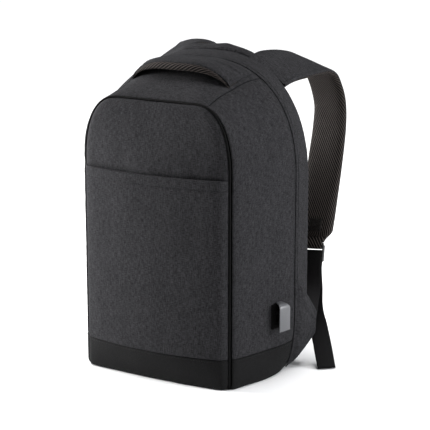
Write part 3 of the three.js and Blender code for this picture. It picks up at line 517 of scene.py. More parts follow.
def moulded(name, colour, roughness, fine=0.0004, wear=0.1):
    f = Finish(name)
    place = f.object_place()
    grain = f.grain(place, 1 / fine, 2.0)
    slow = f.grain(place, 1 / 0.02, 2.0)
    shade = f.math("MULTIPLY_ADD", f.math("SUBTRACT", slow, 0.5), wear, 1.0)
    tone = f.shaded(colour, shade)
    rough = f.math("MULTIPLY_ADD", f.math("SUBTRACT", grain, 0.5), 0.12, roughness)
    return f.done(tone, rough, grain, 0.00006, 0.6)


def thread_finish(name, colour):
    f = Finish(name)
    place = f.object_place()
    twist = f.add("ShaderNodeTexWave", settings={"bands_direction": "DIAGONAL"}, Vector=place, Scale=900.0,
                  Distortion=1.0)
    tone = f.mix(twist, tuple(c * 0.6 for c in colour), tuple(c * 1.3 for c in colour))
    return f.done(tone, 0.6, twist, 0.00005, 0.5, Specular_IOR_Level=0.1)


air_mesh = spacer_mesh("spacer_mesh")
webbing = webbing_cloth("webbing_twill")
patch_cloth = woven("patch_cloth", 0.0007, (0.005, 0.0047, 0.0045), (0.024, 0.0215, 0.02), 1.2, 0.5,
                    0.0, 0.85)
lock_plastic = moulded("lock_plastic", (0.007, 0.007, 0.0073), 0.62)
port_plastic = moulded("port_satin", (0.07, 0.0715, 0.077), 0.4, 0.0005, 0.06)
socket_plastic = moulded("socket_plastic", (0.0025, 0.0025, 0.0026), 0.9)
socket_plastic.node_tree.nodes["Principled BSDF"].inputs["Specular IOR Level"].default_value = 0.05
thread = thread_finish("sewing_thread", (0.016, 0.016, 0.017))
dark_thread = thread_finish("dark_thread", (0.006, 0.006, 0.0063))
print("finishes:", len(bpy.data.materials))

# %% [markdown]
# ## From points to meshes
# All the cloth here is a grid of points: rows one way, columns the other. Two helpers turn such grids
# into closed meshes. One gives a sheet its thickness and its rims. The other joins a row of closed
# outlines, for straps and rolls. Both write a map in metres on the faces, which is what the weaves above
# follow.

# %% Mesh helpers
def applied(made):
    """Makes the result of an object's modifiers its mesh."""
    ready = made.evaluated_get(bpy.context.evaluated_depsgraph_get())
    made.data = bpy.data.meshes.new_from_object(ready)
    made.modifiers.clear()


def vertex_places(mesh):
    return np.array([v.co for v in mesh.vertices])


def to_row(points):
    """Millimetres behind the front seam to metres in the model's frame."""
    return (np.asarray(points, float) - [0, ZIP_DEPTH / 2, 0]) * 0.001


def lattice(rows, cols, wrap_rows=False, wrap_cols=False):
    """Corners of each quad as (row, column), not yet wrapped."""
    row_count = rows if wrap_rows else rows - 1
    col_count = cols if wrap_cols else cols - 1
    r, c = np.meshgrid(np.arange(row_count), np.arange(col_count), indexing="ij")
    r, c = r.ravel(), c.ravel()
    return np.stack([np.stack([r, c], -1), np.stack([r + 1, c], -1), np.stack([r + 1, c + 1], -1),
                     np.stack([r, c + 1], -1)], 1)


def build(name, verts, faces, corner_uv, material, caps=()):
    """A smooth mesh object with outward faces, riding on the bag."""
    mesh = bpy.data.meshes.new(name)
    all_faces = [tuple(int(i) for i in q) for q in faces] + [tuple(int(i) for i in c) for c in caps]
    mesh.from_pydata([tuple(p) for p in to_row(verts)], [], all_faces)
    layer = mesh.uv_layers.new(name="cloth")
    flat = np.zeros((len(mesh.loops), 2), np.float32)
    flat[:len(faces) * 4] = (np.asarray(corner_uv).reshape(-1, 2) * 0.001)
    layer.data.foreach_set("uv", flat.ravel())
    work = bmesh.new()
    work.from_mesh(mesh)
    bmesh.ops.remove_doubles(work, verts=work.verts, dist=1e-7)
    bmesh.ops.recalc_face_normals(work, faces=work.faces)
    if work.calc_volume(signed=True) < 0:
        bmesh.ops.reverse_faces(work, faces=work.faces)
    work.to_mesh(mesh)
    work.free()
    mesh.polygons.foreach_set("use_smooth", [True] * len(mesh.polygons))
    made = bpy.data.objects.new(name, mesh)
    bpy.context.scene.collection.objects.link(made)
    made.data.materials.append(material)
    print(f"{name}: {len(mesh.polygons)} faces")
    return made


def grid_normals(points, away, wrap=False):
    """Unit normals of a grid, leading away from a point."""
    if wrap:
        du = np.roll(points, -1, 0) - np.roll(points, 1, 0)
    else:
        du = np.gradient(points, axis=0)
    n = np.cross(du, np.gradient(points, axis=1))
    n /= np.maximum(np.linalg.norm(n, axis=-1, keepdims=True), 1e-9)
    return -n if np.sum(n * (points - away)) < 0 else n


def lengths(points, axis):
    """Distance run along an axis of a grid, from its first line."""
    step = np.linalg.norm(np.diff(points, axis=axis), axis=-1)
    zero = np.zeros_like(np.take(step, [0], axis=axis))
    return np.concatenate([zero, np.cumsum(step, axis=axis)], axis=axis)


def sheet_mesh(name, outer, inner, material, wrap=False):
    """A closed shell between two grids of the same size."""
    rows, cols = outer.shape[:2]
    us = lengths(outer, 0)[:, cols // 2]
    if wrap:
        us = np.append(us, us[-1] + np.linalg.norm(outer[0, cols // 2] - outer[-1, cols // 2]))
    vs = lengths(outer, 1)[rows // 2]
    verts = np.concatenate([outer.reshape(-1, 3), inner.reshape(-1, 3)])
    faces, maps = [], []

    def put(corner, layer):
        at = (corner[..., 0] % rows) * cols + corner[..., 1]
        faces.append(at + layer * rows * cols)
        maps.append(np.stack([us[corner[..., 0]], vs[corner[..., 1]]], -1))

    quads = lattice(rows, cols, wrap_rows=wrap)
    zero = np.zeros((1, 4), int)
    put(quads, zero)
    put(quads[:, ::-1], zero + 1)
    sides = [(c, 1) for c in (0, cols - 1)] + ([] if wrap else [(r, 0) for r in (0, rows - 1)])
    for fixed, axis in sides:
        count = (rows if wrap else rows - 1) if axis == 1 else cols - 1
        k = np.arange(count)
        corner = np.zeros((count, 4, 2), int)
        corner[:, :, axis] = fixed
        corner[:, :, 1 - axis] = np.stack([k, k + 1, k + 1, k], -1)
        put(corner, np.array([[0, 0, 1, 1]]))
    return build(name, verts, np.concatenate(faces), np.concatenate(maps), material)


def ring_mesh(name, rings, material):
    """A closed solid through closed outlines, with both ends capped."""
    count, around = rings.shape[:2]
    loop = np.concatenate([rings, rings[:, :1]], 1)
    us = lengths(loop, 1)[count // 2]
    vs = lengths(rings, 0).mean(1)
    quads = lattice(count, around, wrap_cols=True)
    at = quads[..., 0] * around + quads[..., 1] % around
    maps = np.stack([us[quads[..., 1]], vs[quads[..., 0]]], -1)
    caps = [list(range(around))[::-1], [(count - 1) * around + k for k in range(around)]]
    return build(name, rings.reshape(-1, 3), at, maps, material, caps)


def edge_shares(length, step, soft=2.0, start=True, end=True):
    """Shares of a length, close together where its ends roll over."""
    roll = soft * (1 - np.cos(np.linspace(0, math.pi / 2, 6)))
    middle = np.linspace(soft, length - soft, max(2, int((length - 2 * soft) / step)))
    first = roll if start else np.linspace(0, soft, 3)
    last = length - (roll if end else np.linspace(0, soft, 3))[::-1]
    return np.unique(np.round(np.concatenate([first, middle, last]), 4)) / length


print("mesh helpers ready")

# %% [markdown]
# ## Padded panels
# Each wall of the bag is cloth over thin foam. At a seam both panels roll inwards and leave a narrow
# valley, and the stitches pull small puckers into the cloth. The helper below takes the smooth grid of a
# panel, rolls its edges in, adds puckers that fade away from the seam, and lays broad soft dents over
# the rest.

# %% Panel helper
CLOTH = {}


def upholstered(name, points, thickness, material, away, roll=(2.0, 2.0, 1.0, 0.8), wrap=False,
                dents=1.0, pucker=0.5, relief=None, seed=1, keep=None):
    """A padded panel. roll says how far its borders roll in: first and last row, first and last column."""
    n = grid_normals(points, away, wrap)
    row_run, col_run = lengths(points, 0), lengths(points, 1)
    borders = [row_run, row_run[-1:] - row_run, col_run, col_run[:, -1:] - col_run]
    if wrap:
        borders, roll = borders[2:], roll[2:]
    sink = np.zeros(points.shape[:2])
    crimp = np.zeros(points.shape[:2])
    for e, r in zip(borders, roll):
        e = e + 0 * sink
        inside = np.clip(1 - e / r, 0, 1)
        sink = np.maximum(sink, r * (1 - np.sqrt(np.maximum(0, 1 - inside * inside))))
        crimp = np.maximum(crimp, np.exp(-e / 9.0) * np.clip(e / 1.5, 0, 1))
    lift = -sink + pucker * crimp * noise(points, 9.0, seed)
    lift = lift + 0.5 * pucker * crimp * noise(points, 4.5, seed + 1)
    broad = 1.3 * noise(points, (70, 70, 95), seed + 2) + 0.45 * noise(points, 28, seed + 3)
    fade = np.ones(points.shape[:2])
    for e in borders:
        fade = fade * ease((e + 0 * fade) / 22)
    lift = lift + dents * broad * fade
    if relief is not None:
        lift = lift + relief(points, n)
    if keep is not None:
        lift = lift * keep(points)
    outer = points + n * lift[..., None]
    inner = points - n * (thickness + np.minimum(0, lift))[..., None]
    CLOTH[name] = (outer, grid_normals(outer, away, wrap))
    return sheet_mesh(name, outer, inner, material, wrap)


MIDDLE, WALL = np.array([0.0, 56.0, 211.0]), 3.2
side_depths = edge_shares(ZIP_DEPTH - 1.35, 3.0) * (ZIP_DEPTH - 1.35) + 1.2
off_floor = lambda p: ease((p[..., 2] - 2) / 8)
print("depth lines:", len(side_depths))

# %% [markdown]
# ## Side walls, top and base
# The side wall runs from the black base up to the seam near the bag's corner, and the top panel joins
# the two sides. The base is a tub of black cloth. The left wall mirrors the right one, and has its own
# dents, so that the two don't look like copies.

# %% Side walls, top panel and base
def side_relief(side):
    def relief(p, n):
        pull = np.exp(-((p[..., 2] - 282) / 7) ** 2) * np.exp(-np.maximum(0, p[..., 1] - 2) / 16)
        soft = np.exp(-((p[..., 1] - 70) / 30) ** 2 - ((p[..., 2] - 150) / 90) ** 2)
        base_fold = np.exp(-((p[..., 2] - 60 - 0.25 * p[..., 1]) / 14) ** 2) * ease(p[..., 1] / 40)
        return -1.1 * pull - 1.6 * soft + 0.5 * base_fold
    return relief


panels = []
for side, word in ((1, "right"), (-1, "left")):
    shares = edge_shares(385, 3.2)
    grid = outline([("side", 1), ("shoulder_side", 1)], side_depths, shares * 0.9992 + 0.0004)
    grid[..., 0] *= side
    panels.append(upholstered("side_cloth_" + word, grid, WALL, heather, MIDDLE,
                              seed=11 + 7 * side, relief=side_relief(side)))
    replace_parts(panels[-1], "side_panel_" + word)

grid = outline([("shoulder_top", 1), ("top", 1), ("top", -1), ("shoulder_top", -1)], side_depths,
               edge_shares(190, 3.0) * 0.9984 + 0.0008)
panels.append(upholstered("top_cloth", grid, WALL, heather, MIDDLE, seed=31, dents=0.6))
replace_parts(panels[-1], "top_panel")

grid = outline([("foot", -1), ("floor", -1), ("floor", 1), ("foot", 1)], side_depths,
               edge_shares(340, 4.0, 1.4) * 0.9992 + 0.0004)
panels.append(upholstered("base_cloth_tub", grid, WALL, base_cloth, MIDDLE,
                          roll=(1.4, 1.4, 1.2, 1.4), seed=41, dents=0.5, pucker=0.25, keep=off_floor))
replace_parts(panels[-1], "base_panel")
print("panels:", [p.name for p in panels])

# %% [markdown]
# ## The rear band
# Behind the long seam a narrow band of cloth runs all the way round. The photograph shows two dark lines
# there, because a flap about 5 mm wide lies over the seam. The band has a shallow groove behind the
# flap, and the flap is a thin strip of its own that lies on it and ends above the wings at the foot.

# %% Rear band with its seam flap
def groove_relief(p, n):
    e = p[..., 1] - ZIP_DEPTH
    shown = ease((p[..., 2] - 118) / 12)
    return -1.5 * np.exp(-((e - 6.6) / 1.0) ** 4) * shown


band_depths = np.unique(np.concatenate([
    ZIP_DEPTH + 0.15 + np.array([0, 0.12, 0.35, 0.7, 1.1, 1.6, 2.6, 3.8, 4.8, 5.2, 5.5, 5.9, 6.4, 6.9, 7.3,
                                 7.6, 8, 9]),
    np.linspace(ZIP_DEPTH + 10.5, BODY_DEPTH - 2.2, 9),
    BODY_DEPTH - 0.15 - 1.8 * (1 - np.cos(np.linspace(0, math.pi / 2, 5))),
]))
whole_round = [("floor", 1), ("foot", 1), ("side", 1), ("shoulder_side", 1), ("shoulder_top", 1), ("top", 1)]
whole_round += [(name, -1) for name, _ in whole_round[::-1]]
grid = outline(whole_round, band_depths, np.linspace(0, 1, 421)[:-1])
rear_band = upholstered("rear_band", grid, WALL, heather, MIDDLE, roll=(0, 0, 1.3, 1.6), wrap=True,
                        seed=51, dents=0.5, pucker=0.35, relief=groove_relief, keep=off_floor)
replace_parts(rear_band, "rear_gusset")

flap_depths = ZIP_DEPTH + np.array([0.2, 0.45, 0.8, 1.3, 2.0, 2.8, 3.6, 4.3, 4.8, 5.15, 5.4])
over_top = [("side", 1), ("shoulder_side", 1), ("shoulder_top", 1), ("top", 1)]
over_top += [(name, -1) for name, _ in over_top[::-1]]
grid = outline(over_top, flap_depths, np.linspace(0, 1, 521))
grid = grid[grid[:, 5, 2] > 121]
grid[..., 1] += 0.3 * noise(grid, 16, 55) * ease((grid[..., 1] - ZIP_DEPTH - 2) / 3)
n = grid_normals(grid, MIDDLE)
e = grid[..., 1] - ZIP_DEPTH
height = 0.5 + 0.6 * ease(e / 1.2) - 0.5 * ease((e - 4.6) / 0.9) - 0.3 * np.exp(-((e - 1.9) / 0.35) ** 2)
outer = grid + n * (height + 0.18 * noise(grid, 7, 56))[..., None]
CLOTH["seam_flap"] = (outer, n)
sheet_mesh("seam_flap", outer, grid - n * 0.1, heather)

# %% [markdown]
# ## The front
# The front is a padded panel that bows out between its seams. A slip pocket covers it up to two thirds
# of its height, and black cloth covers its foot. The pocket's upper edge is a folded hem that stands a
# little away from the panel behind it, which gives the dark line that the photograph shows.

# %% Front panel, pocket and black foot
FRONT_BULGE, SEAM_HEM, PILLOW, PIPING_RECESS = 15.0, 1.6, 4.5, 1.6
FOOT_TUCK, CROWN_TUCK, POCKET_OUT, POCKET_CLOTH = 0.3, 0.15, 3.5, 2.5
FRONT_SECTION = section_at(0.0)


def front_half_width(z):
    s = FRONT_SECTION
    foot = s["top"] - s["drop"]
    share = np.clip((z - foot) / (s["drop"] - PIPING_RECESS), 0, 1)
    rounded = s["flat"] + (s["half"] - PIPING_RECESS - s["flat"]) * shoulder_curve(share)
    return np.where(z <= foot, half_width(s, z) - PIPING_RECESS, rounded)


def front_point(share, z, offset):
    """The front's outside: share runs across from -1 to 1, offset moves it out."""
    edge = front_half_width(z)
    foot = ease(z / TRIM_HEIGHT)
    crown = 1 - ease((z - POCKET_HEIGHT) / (FRONT_HEIGHT - POCKET_HEIGHT))
    bow = FRONT_BULGE * (FOOT_TUCK + (1 - FOOT_TUCK) * foot) * (CROWN_TUCK + (1 - CROWN_TUCK) * crown)
    bow = bow * (1 - share * share)
    near = np.minimum(np.minimum((1 - np.abs(share)) * edge, FRONT_HEIGHT - PIPING_RECESS - z), z + PILLOW)
    pillow = PILLOW * (1 - np.exp(-near / PILLOW))
    y = np.minimum(0, -SEAM_HEM - bow - pillow - offset)
    return np.stack([share * edge, y, z + 0 * share], -1)


def front_sheet(name, z, offset, thickness, material, node, relief, seed):
    edge = np.array([0, 0.3, 0.8, 1.5, 2.4, 3.6, 5.2, 7.5]) / 108
    half = np.concatenate([edge, np.linspace(10 / 108, 1, 36)])
    shares = np.concatenate([-1 + half, (1 - half[:-1])[::-1]])
    s, zz = np.meshgrid(shares, z)
    sewn = np.exp(-((1 - np.abs(s)) * 108 / 3.2) ** 2) * (offset > 0)
    outer = front_point(s, zz, offset - 2.2 * sewn)
    inner = front_point(s, zz, offset - thickness - 0.3 * sewn)
    fade = ease((1 - np.abs(s)) * 108 / 14)
    n = grid_normals(outer, MIDDLE)
    dents = 0.9 * noise(outer, (60, 60, 90), seed) + 0.3 * noise(outer, 22, seed + 1)
    lift = relief(s, zz, outer) + fade * dents
    outer = outer + n * lift[..., None]
    outer[..., 1] = np.minimum(outer[..., 1], inner[..., 1] - 0.4)
    CLOTH[name] = (outer, grid_normals(outer, MIDDLE))
    made = sheet_mesh(name, outer, inner, material)
    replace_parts(made, node)
    return made


def seam_lines(low, high, step, soft=1.2):
    return low + edge_shares(high - low, step, soft) * (high - low)


def top_front_relief(s, z, p):
    folds = np.exp(-((z - 284) / 16) ** 2) * noise(p * [1, 0, 0.15], 17, 61) * ease((0.97 - np.abs(s)) * 8)
    streaks = ease((z - 285) / 20) * noise(p * [1, 0, 0.12], 34, 62) * ease((0.95 - np.abs(s)) * 6)
    mouth = -1.6 * np.exp(-((z - 281) / 5) ** 2) * (1 - s**4)
    return 1.5 * folds + 0.8 * streaks + mouth


def pocket_relief(s, z, p):
    top, low = POCKET_HEIGHT - z, z - TRIM_HEIGHT
    hem = -0.55 * np.exp(-((top - 13) / 0.9) ** 2) + 0.35 * ease((13 - top) / 2) * ease(top / 1.0)
    mouth = 1.5 * np.exp(-top / 16) * (1 - s * s)
    edge = -1.2 * np.maximum(np.exp(-(low / 0.7) ** 2), 0.8 * np.exp(-(top / 0.6) ** 2))
    streaks = 0.55 * noise(p * [1, 0, 0.1], 30, 63) * ease((0.96 - np.abs(s)) * 6) * ease(low / 20)
    crimp = 0.35 * noise(p, 8, 64) * np.exp(-low / 10)
    return hem + mouth + edge + streaks + crimp


def foot_relief(s, z, p):
    top = TRIM_HEIGHT - z
    return -1.1 * np.exp(-(top / 0.8) ** 2) + 0.3 * noise(p, 9, 65) * np.exp(-top / 9)


front_end = FRONT_HEIGHT - PIPING_RECESS
z_lines = front_end - (np.linspace(0, 1, 110) ** 1.6)[::-1] * (front_end - 1.5)
front_top = front_sheet("front_top_cloth", z_lines, 0, 4, heather, "front_panel",
                        top_front_relief, 71)
pocket_lines = np.unique(np.concatenate([seam_lines(TRIM_HEIGHT + 0.15, POCKET_HEIGHT, 3.2),
                                         POCKET_HEIGHT - np.linspace(8, 18, 13)]))
front_sheet("pocket_cloth", pocket_lines, POCKET_OUT, POCKET_CLOTH, heather, "front_pocket",
            pocket_relief, 73)
foot_lines = seam_lines(1.5, TRIM_HEIGHT - 0.15, 2.4)
front_sheet("front_foot_cloth", foot_lines, POCKET_OUT, POCKET_CLOTH, base_cloth, "front_trim",
            foot_relief, 75)

# %% [markdown]
# ## Things that follow a path
# Piping and stitches follow lines on the bag. Geometry Nodes do this well: the line goes in, and a tube
# or a row of stitches comes out. The trees are built here by hand, with named inputs for their sizes,
# and their result is turned into a plain mesh at once.

# %% Node trees for piping and stitches
def new_tree(name, sockets):
    """An empty geometry tree with named float inputs and a material."""
    tree = bpy.data.node_groups.new(name, "GeometryNodeTree")
    tree.interface.new_socket("Path", in_out="INPUT", socket_type="NodeSocketGeometry")
    for label, value in sockets:
        made = tree.interface.new_socket(label, in_out="INPUT", socket_type="NodeSocketFloat")
        made.default_value = value
    tree.interface.new_socket("Finish", in_out="INPUT", socket_type="NodeSocketMaterial")
    tree.interface.new_socket("Geometry", in_out="OUTPUT", socket_type="NodeSocketGeometry")
    start, end = tree.nodes.new("NodeGroupInput"), tree.nodes.new("NodeGroupOutput")
    return tree, start, end


def chain(tree, *links):
    for out, into in links:
        tree.links.new(out, into)


def stitch_tree():
    tree, start, end = new_tree("stitches", [("Pitch", 0.0038), ("Length", 0.0029), ("Radius", 0.00029)])
    new = tree.nodes.new
    curve, even = new("GeometryNodeMeshToCurve"), new("GeometryNodeResampleCurve")
    even.mode = "LENGTH"
    bead = new("GeometryNodeMeshUVSphere")
    bead.inputs["Segments"].default_value, bead.inputs["Rings"].default_value = 6, 4
    bead.inputs["Radius"].default_value = 1.0
    spread, tangent = new("GeometryNodeInstanceOnPoints"), new("GeometryNodeInputTangent")
    turn, size = new("FunctionNodeAlignRotationToVector"), new("ShaderNodeCombineXYZ")
    half, real = new("ShaderNodeMath"), new("GeometryNodeRealizeInstances")
    half.operation, half.inputs[1].default_value = "MULTIPLY", 0.5
    smooth, finish = new("GeometryNodeSetShadeSmooth"), new("GeometryNodeSetMaterial")
    chain(tree, (start.outputs["Path"], curve.inputs["Mesh"]), (curve.outputs[0], even.inputs["Curve"]),
          (start.outputs["Pitch"], even.inputs["Length"]), (even.outputs[0], spread.inputs["Points"]),
          (bead.outputs["Mesh"], spread.inputs["Instance"]), (tangent.outputs[0], turn.inputs["Vector"]),
          (turn.outputs[0], spread.inputs["Rotation"]), (start.outputs["Length"], half.inputs[0]),
          (start.outputs["Radius"], size.inputs[0]), (start.outputs["Radius"], size.inputs[1]),
          (half.outputs[0], size.inputs[2]), (size.outputs[0], spread.inputs["Scale"]),
          (spread.outputs[0], real.inputs[0]), (real.outputs[0], smooth.inputs[0]),
          (smooth.outputs[0], finish.inputs["Geometry"]),
          (start.outputs["Finish"], finish.inputs["Material"]),
          (finish.outputs[0], end.inputs[0]))
    return tree


def piping_tree():
    tree, start, end = new_tree("piping", [("Radius", 0.0015), ("Step", 0.002)])
    new = tree.nodes.new
    curve, even, circle = (new("GeometryNode" + kind) for kind in ("MeshToCurve", "ResampleCurve",
                                                                   "CurvePrimitiveCircle"))
    even.mode = "LENGTH"
    circle.inputs["Resolution"].default_value = 14
    tube, finish = new("GeometryNodeCurveToMesh"), new("GeometryNodeSetMaterial")
    tube.inputs["Fill Caps"].default_value = True
    smooth, real = new("GeometryNodeSetShadeSmooth"), new("GeometryNodeRealizeInstances")
    chain(tree, (start.outputs["Path"], curve.inputs["Mesh"]), (curve.outputs[0], even.inputs["Curve"]),
          (start.outputs["Step"], even.inputs["Length"]), (even.outputs[0], tube.inputs["Curve"]),
          (start.outputs["Radius"], circle.inputs["Radius"]),
          (circle.outputs["Curve"], tube.inputs["Profile Curve"]),
          (tube.outputs[0], real.inputs[0]), (real.outputs[0], smooth.inputs[0]),
          (smooth.outputs[0], finish.inputs["Geometry"]),
          (start.outputs["Finish"], finish.inputs["Material"]),
          (finish.outputs[0], end.inputs[0]))
    return tree


STITCHES, PIPING = stitch_tree(), piping_tree()


def follow(name, tree, paths, finish, slot, **sizes):
    """Runs a tree along paths, and keeps the result as a plain mesh."""
    verts, edges = [], []
    for path in paths:
        first = len(verts)
        verts += [tuple(p) for p in to_row(path)]
        edges += [(i, i + 1) for i in range(first, len(verts) - 1)]
    mesh = bpy.data.meshes.new(name + "_path")
    mesh.from_pydata(verts, edges, [])
    carrier = bpy.data.objects.new(name + "_path", mesh)
    bpy.context.scene.collection.objects.link(carrier)
    modifier = carrier.modifiers.new("follow", "NODES")
    modifier.node_group = tree
    for item in tree.interface.items_tree:
        if item.in_out == "INPUT" and item.name in sizes:
            modifier[item.identifier] = sizes[item.name]
        if item.name == "Finish":
            modifier[item.identifier] = finish
    ready = carrier.evaluated_get(bpy.context.evaluated_depsgraph_get())
    made = bpy.data.objects.new(name, bpy.data.meshes.new_from_object(ready))
    carrier.modifiers.remove(modifier)
    bpy.data.objects.remove(carrier)
    bpy.context.scene.collection.objects.link(made)
    made.data.materials.clear()
    made.data.materials.append(finish)
    print(f"{name}: {len(made.data.polygons)} faces")
    return made


def beside(name, border, distance, lift=0.12, start=0.0, stop=1.0):
    """A line on a finished cloth grid, at a distance from one of its borders."""
    points, n = CLOTH[name]
    if border in ("first row", "last row"):
        points, n = points.transpose(1, 0, 2), n.transpose(1, 0, 2)
    if border.startswith("last"):
        points, n = points[:, ::-1], n[:, ::-1]
    run = lengths(points, 1)
    path = []
    for r in range(int(len(points) * start), int(math.ceil(len(points) * stop))):
        at = [np.interp(distance, run[r], points[r, :, k]) for k in range(3)]
        out = np.array([np.interp(distance, run[r], n[r, :, k]) for k in range(3)])
        path.append(np.array(at) + out * lift)
    return np.array(path)


# %% [markdown]
# ## Piping round the front
# A cord wrapped in black cloth is sewn between the front and the walls. It is the darkest line in the
# photograph. Sewn by hand over a foam edge it wanders a little, so the path has a small wobble. The
# cloth that wraps the cord ends in a flange, which is caught in the seam and closes it from behind. So
# the flange is a bent strip here: one half lies under the front, the other under the walls.

# %% Front piping
front = FRONT_SECTION
arc_x, arc_z = shoulder(front, np.linspace(0, math.pi / 2, 40))
rise_z = np.linspace(3, front["top"] - front["drop"], 60)[:-1]
rise_x = half_width(front, rise_z)
half_path = np.stack([np.concatenate([rise_x, arc_x]), np.concatenate([rise_z, arc_z])], -1)
flat_x = np.linspace(front["flat"], -front["flat"], 24)[1:-1]
flat_path = np.stack([flat_x, 0 * flat_x + front["top"]], -1)
path = np.concatenate([half_path, flat_path, half_path[::-1] * [-1, 1]])
piping_path = np.stack([path[:, 0], 0 * path[:, 0] - 0.35, path[:, 1]], -1)
wobble = np.stack([noise(piping_path, 14, 81), noise(piping_path, 17, 82), noise(piping_path, 14, 83)], -1)
piping_path = piping_path + wobble * [0.35, 0.3, 0.35] * ease((piping_path[:, 2:] - 3) / 30)
piping = follow("piping_cord", PIPING, [piping_path], piping_cloth, "trim", Radius=0.0013, Step=0.0022)
layer = piping.data.uv_layers.get("cloth") or piping.data.uv_layers.new(name="cloth")
co = vertex_places(piping.data)
loops = np.array([l.vertex_index for l in piping.data.loops])
flat_uv = np.stack([co[loops, 0] + co[loops, 1], co[loops, 2] + co[loops, 1]], -1)
layer.data.foreach_set("uv", flat_uv.ravel())
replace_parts(piping, "front_piping")

run_x, run_z = np.gradient(piping_path[:, 0]), np.gradient(piping_path[:, 2])
inwards = np.stack([-run_z, 0 * run_x, run_x], -1)
inwards /= np.linalg.norm(inwards, axis=-1, keepdims=True)
inwards *= np.sign(np.sum(inwards * (MIDDLE - piping_path), -1, keepdims=True))
fold = np.array([(7.5, 1, 1, 0), (4.5, 1, 1, 0), (2, 1, 1, 0), (0.7, 1.1, 0.7, 0.7), (0.5, 2, 0, 1),
                 (1, 4, 0, 1), (1.6, 7, 0, 1), (2.5, 10, 0, 1)])
run_in, run_back, face_back, face_in = (fold[:, k][None, :, None] for k in range(4))
backwards = np.array([0, 1.0, 0])
flange = piping_path[:, None] + inwards[:, None] * run_in + backwards * run_back
thin = 0.35 * (backwards * face_back + inwards[:, None] * face_in)
flange = sheet_mesh("piping_flange", flange - thin, flange + thin, piping_cloth)

# %% [markdown]
# ## The handle
# The grab handle is a hood of cloth that rises from the top panel, with padded mesh rolled under its
# free edge. It could be a simple arch, but the photograph shows that its ends melt into the top panel
# and its cloth gathers there. So both grids follow the arch, and folds grow towards the ends.

# %% Handle hood and its padded mesh roll
HANDLE_SPAN, HANDLE_FRONT, HANDLE_BOW, HANDLE_FLARE = 152.0, 50.0, 10.0, 8.0
HANDLE_LIFT, HANDLE_SHEET, HANDLE_LINING = 22.0, 2.5, 9.5
HANDLE_BACK = ZIP_DEPTH - 3.0


def top_height(x, y):
    """The top panel's height at a place on it."""
    s = section(y)
    share = np.clip((np.abs(x) - s["flat"]) / (s["half"] - s["flat"]), 0, 1)
    return s["top"] - s["drop"] * (1 - shoulder_curve(share))


def handle_point(share, back, depth):
    front = HANDLE_FRONT + HANDLE_BOW * share * share
    y = front + (HANDLE_BACK - front) * back
    x = share * (HANDLE_SPAN / 2 + HANDLE_FLARE * back)
    arch = np.maximum(0, 1 - np.abs(share) ** 2.8) ** 0.8
    lift = (HANDLE_LIFT - HANDLE_SHEET) * arch * (1 - ease(back))
    return np.stack([x, y, top_height(x, y) + 2 * SEAM_GAP + HANDLE_SHEET + lift - depth], -1)


share_line = np.sin(np.linspace(-math.pi / 2, math.pi / 2, 121))
back_line = np.linspace(0, 1, 46) ** 1.3
ss, bb = np.meshgrid(share_line, back_line, indexing="ij")
hood = handle_point(ss, bb, 0)
n = grid_normals(hood, MIDDLE)
gather = ease((np.abs(ss) - 0.55) / 0.4) * ease(bb / 0.1) * (1 - ease((bb - 0.8) / 0.2))
creases = 1.6 * gather * noise(hood * [0.6, 1, 1], 10, 91)
shown = ease((np.abs(ss) - 0.1) / 0.4) * (1 - ease((np.abs(ss) - 0.9) / 0.1))
long_fold = 1.5 * np.exp(-((bb - 0.62) / 0.07) ** 2) * shown
soft = 0.5 * noise(hood, 26, 92)
rolled_edge = -1.3 * (1 - np.sqrt(1 - np.clip(1 - bb * 60 / 2.4, 0, 1) ** 2))
melt = -1.6 * ease((bb - 0.86) / 0.14) - 3.1 * ease((np.abs(ss) - 0.93) / 0.07) * ease(bb / 0.08)
outer = hood + n * (creases + long_fold + soft * ease(bb / 0.15) + rolled_edge + melt)[..., None]
inner = np.minimum(hood - n * HANDLE_SHEET * 0.9, hood + 10)
CLOTH["handle_hood"] = (outer, grid_normals(outer, MIDDLE))
handle = sheet_mesh("handle_hood", outer, inner, heather)
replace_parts(handle, "grab_handle")

widest = 0.97
roll_rings = []
for share in np.linspace(-widest, widest, 97):
    across = 1 - (abs(share) / widest) ** 3
    top = 1.5 + 3.8 * (abs(share) / widest) ** 8
    b = np.linspace(0, 0.62, 14)
    thick = 0.5 + (HANDLE_LINING - 0.4) * across * (1 - ease((b - 0.1) / 0.55))
    upper, lower = handle_point(share, b, top), handle_point(share, b, top + thick)
    turn = np.linspace(0, math.pi, 11)[1:-1]
    mid, half_thick = (upper[0] + lower[0]) / 2, thick[0] / 2
    nose = mid + np.stack([0 * turn, -0.85 * half_thick * np.sin(turn), half_thick * np.cos(turn)], -1)
    roll_rings.append(np.concatenate([upper[::-1], nose, lower]))
roll_rings = np.array(roll_rings)
roll_rings += 0.35 * noise(roll_rings, 9, 94)[..., None] * [0, 0.6, 0.6]
lining = ring_mesh("handle_mesh_roll", roll_rings, air_mesh)
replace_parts(lining, "handle_lining")

# %% [markdown]
# ## Shoulder straps
# A strap is a long foam pad with cloth outside and mesh inside. It is modelled directly, as a row of
# outlines along two edge lines, because a remesh would blur its flat shape. The cloth has a stitched
# channel near each edge, and the mesh is fuller in the middle and creases where the strap bends over.

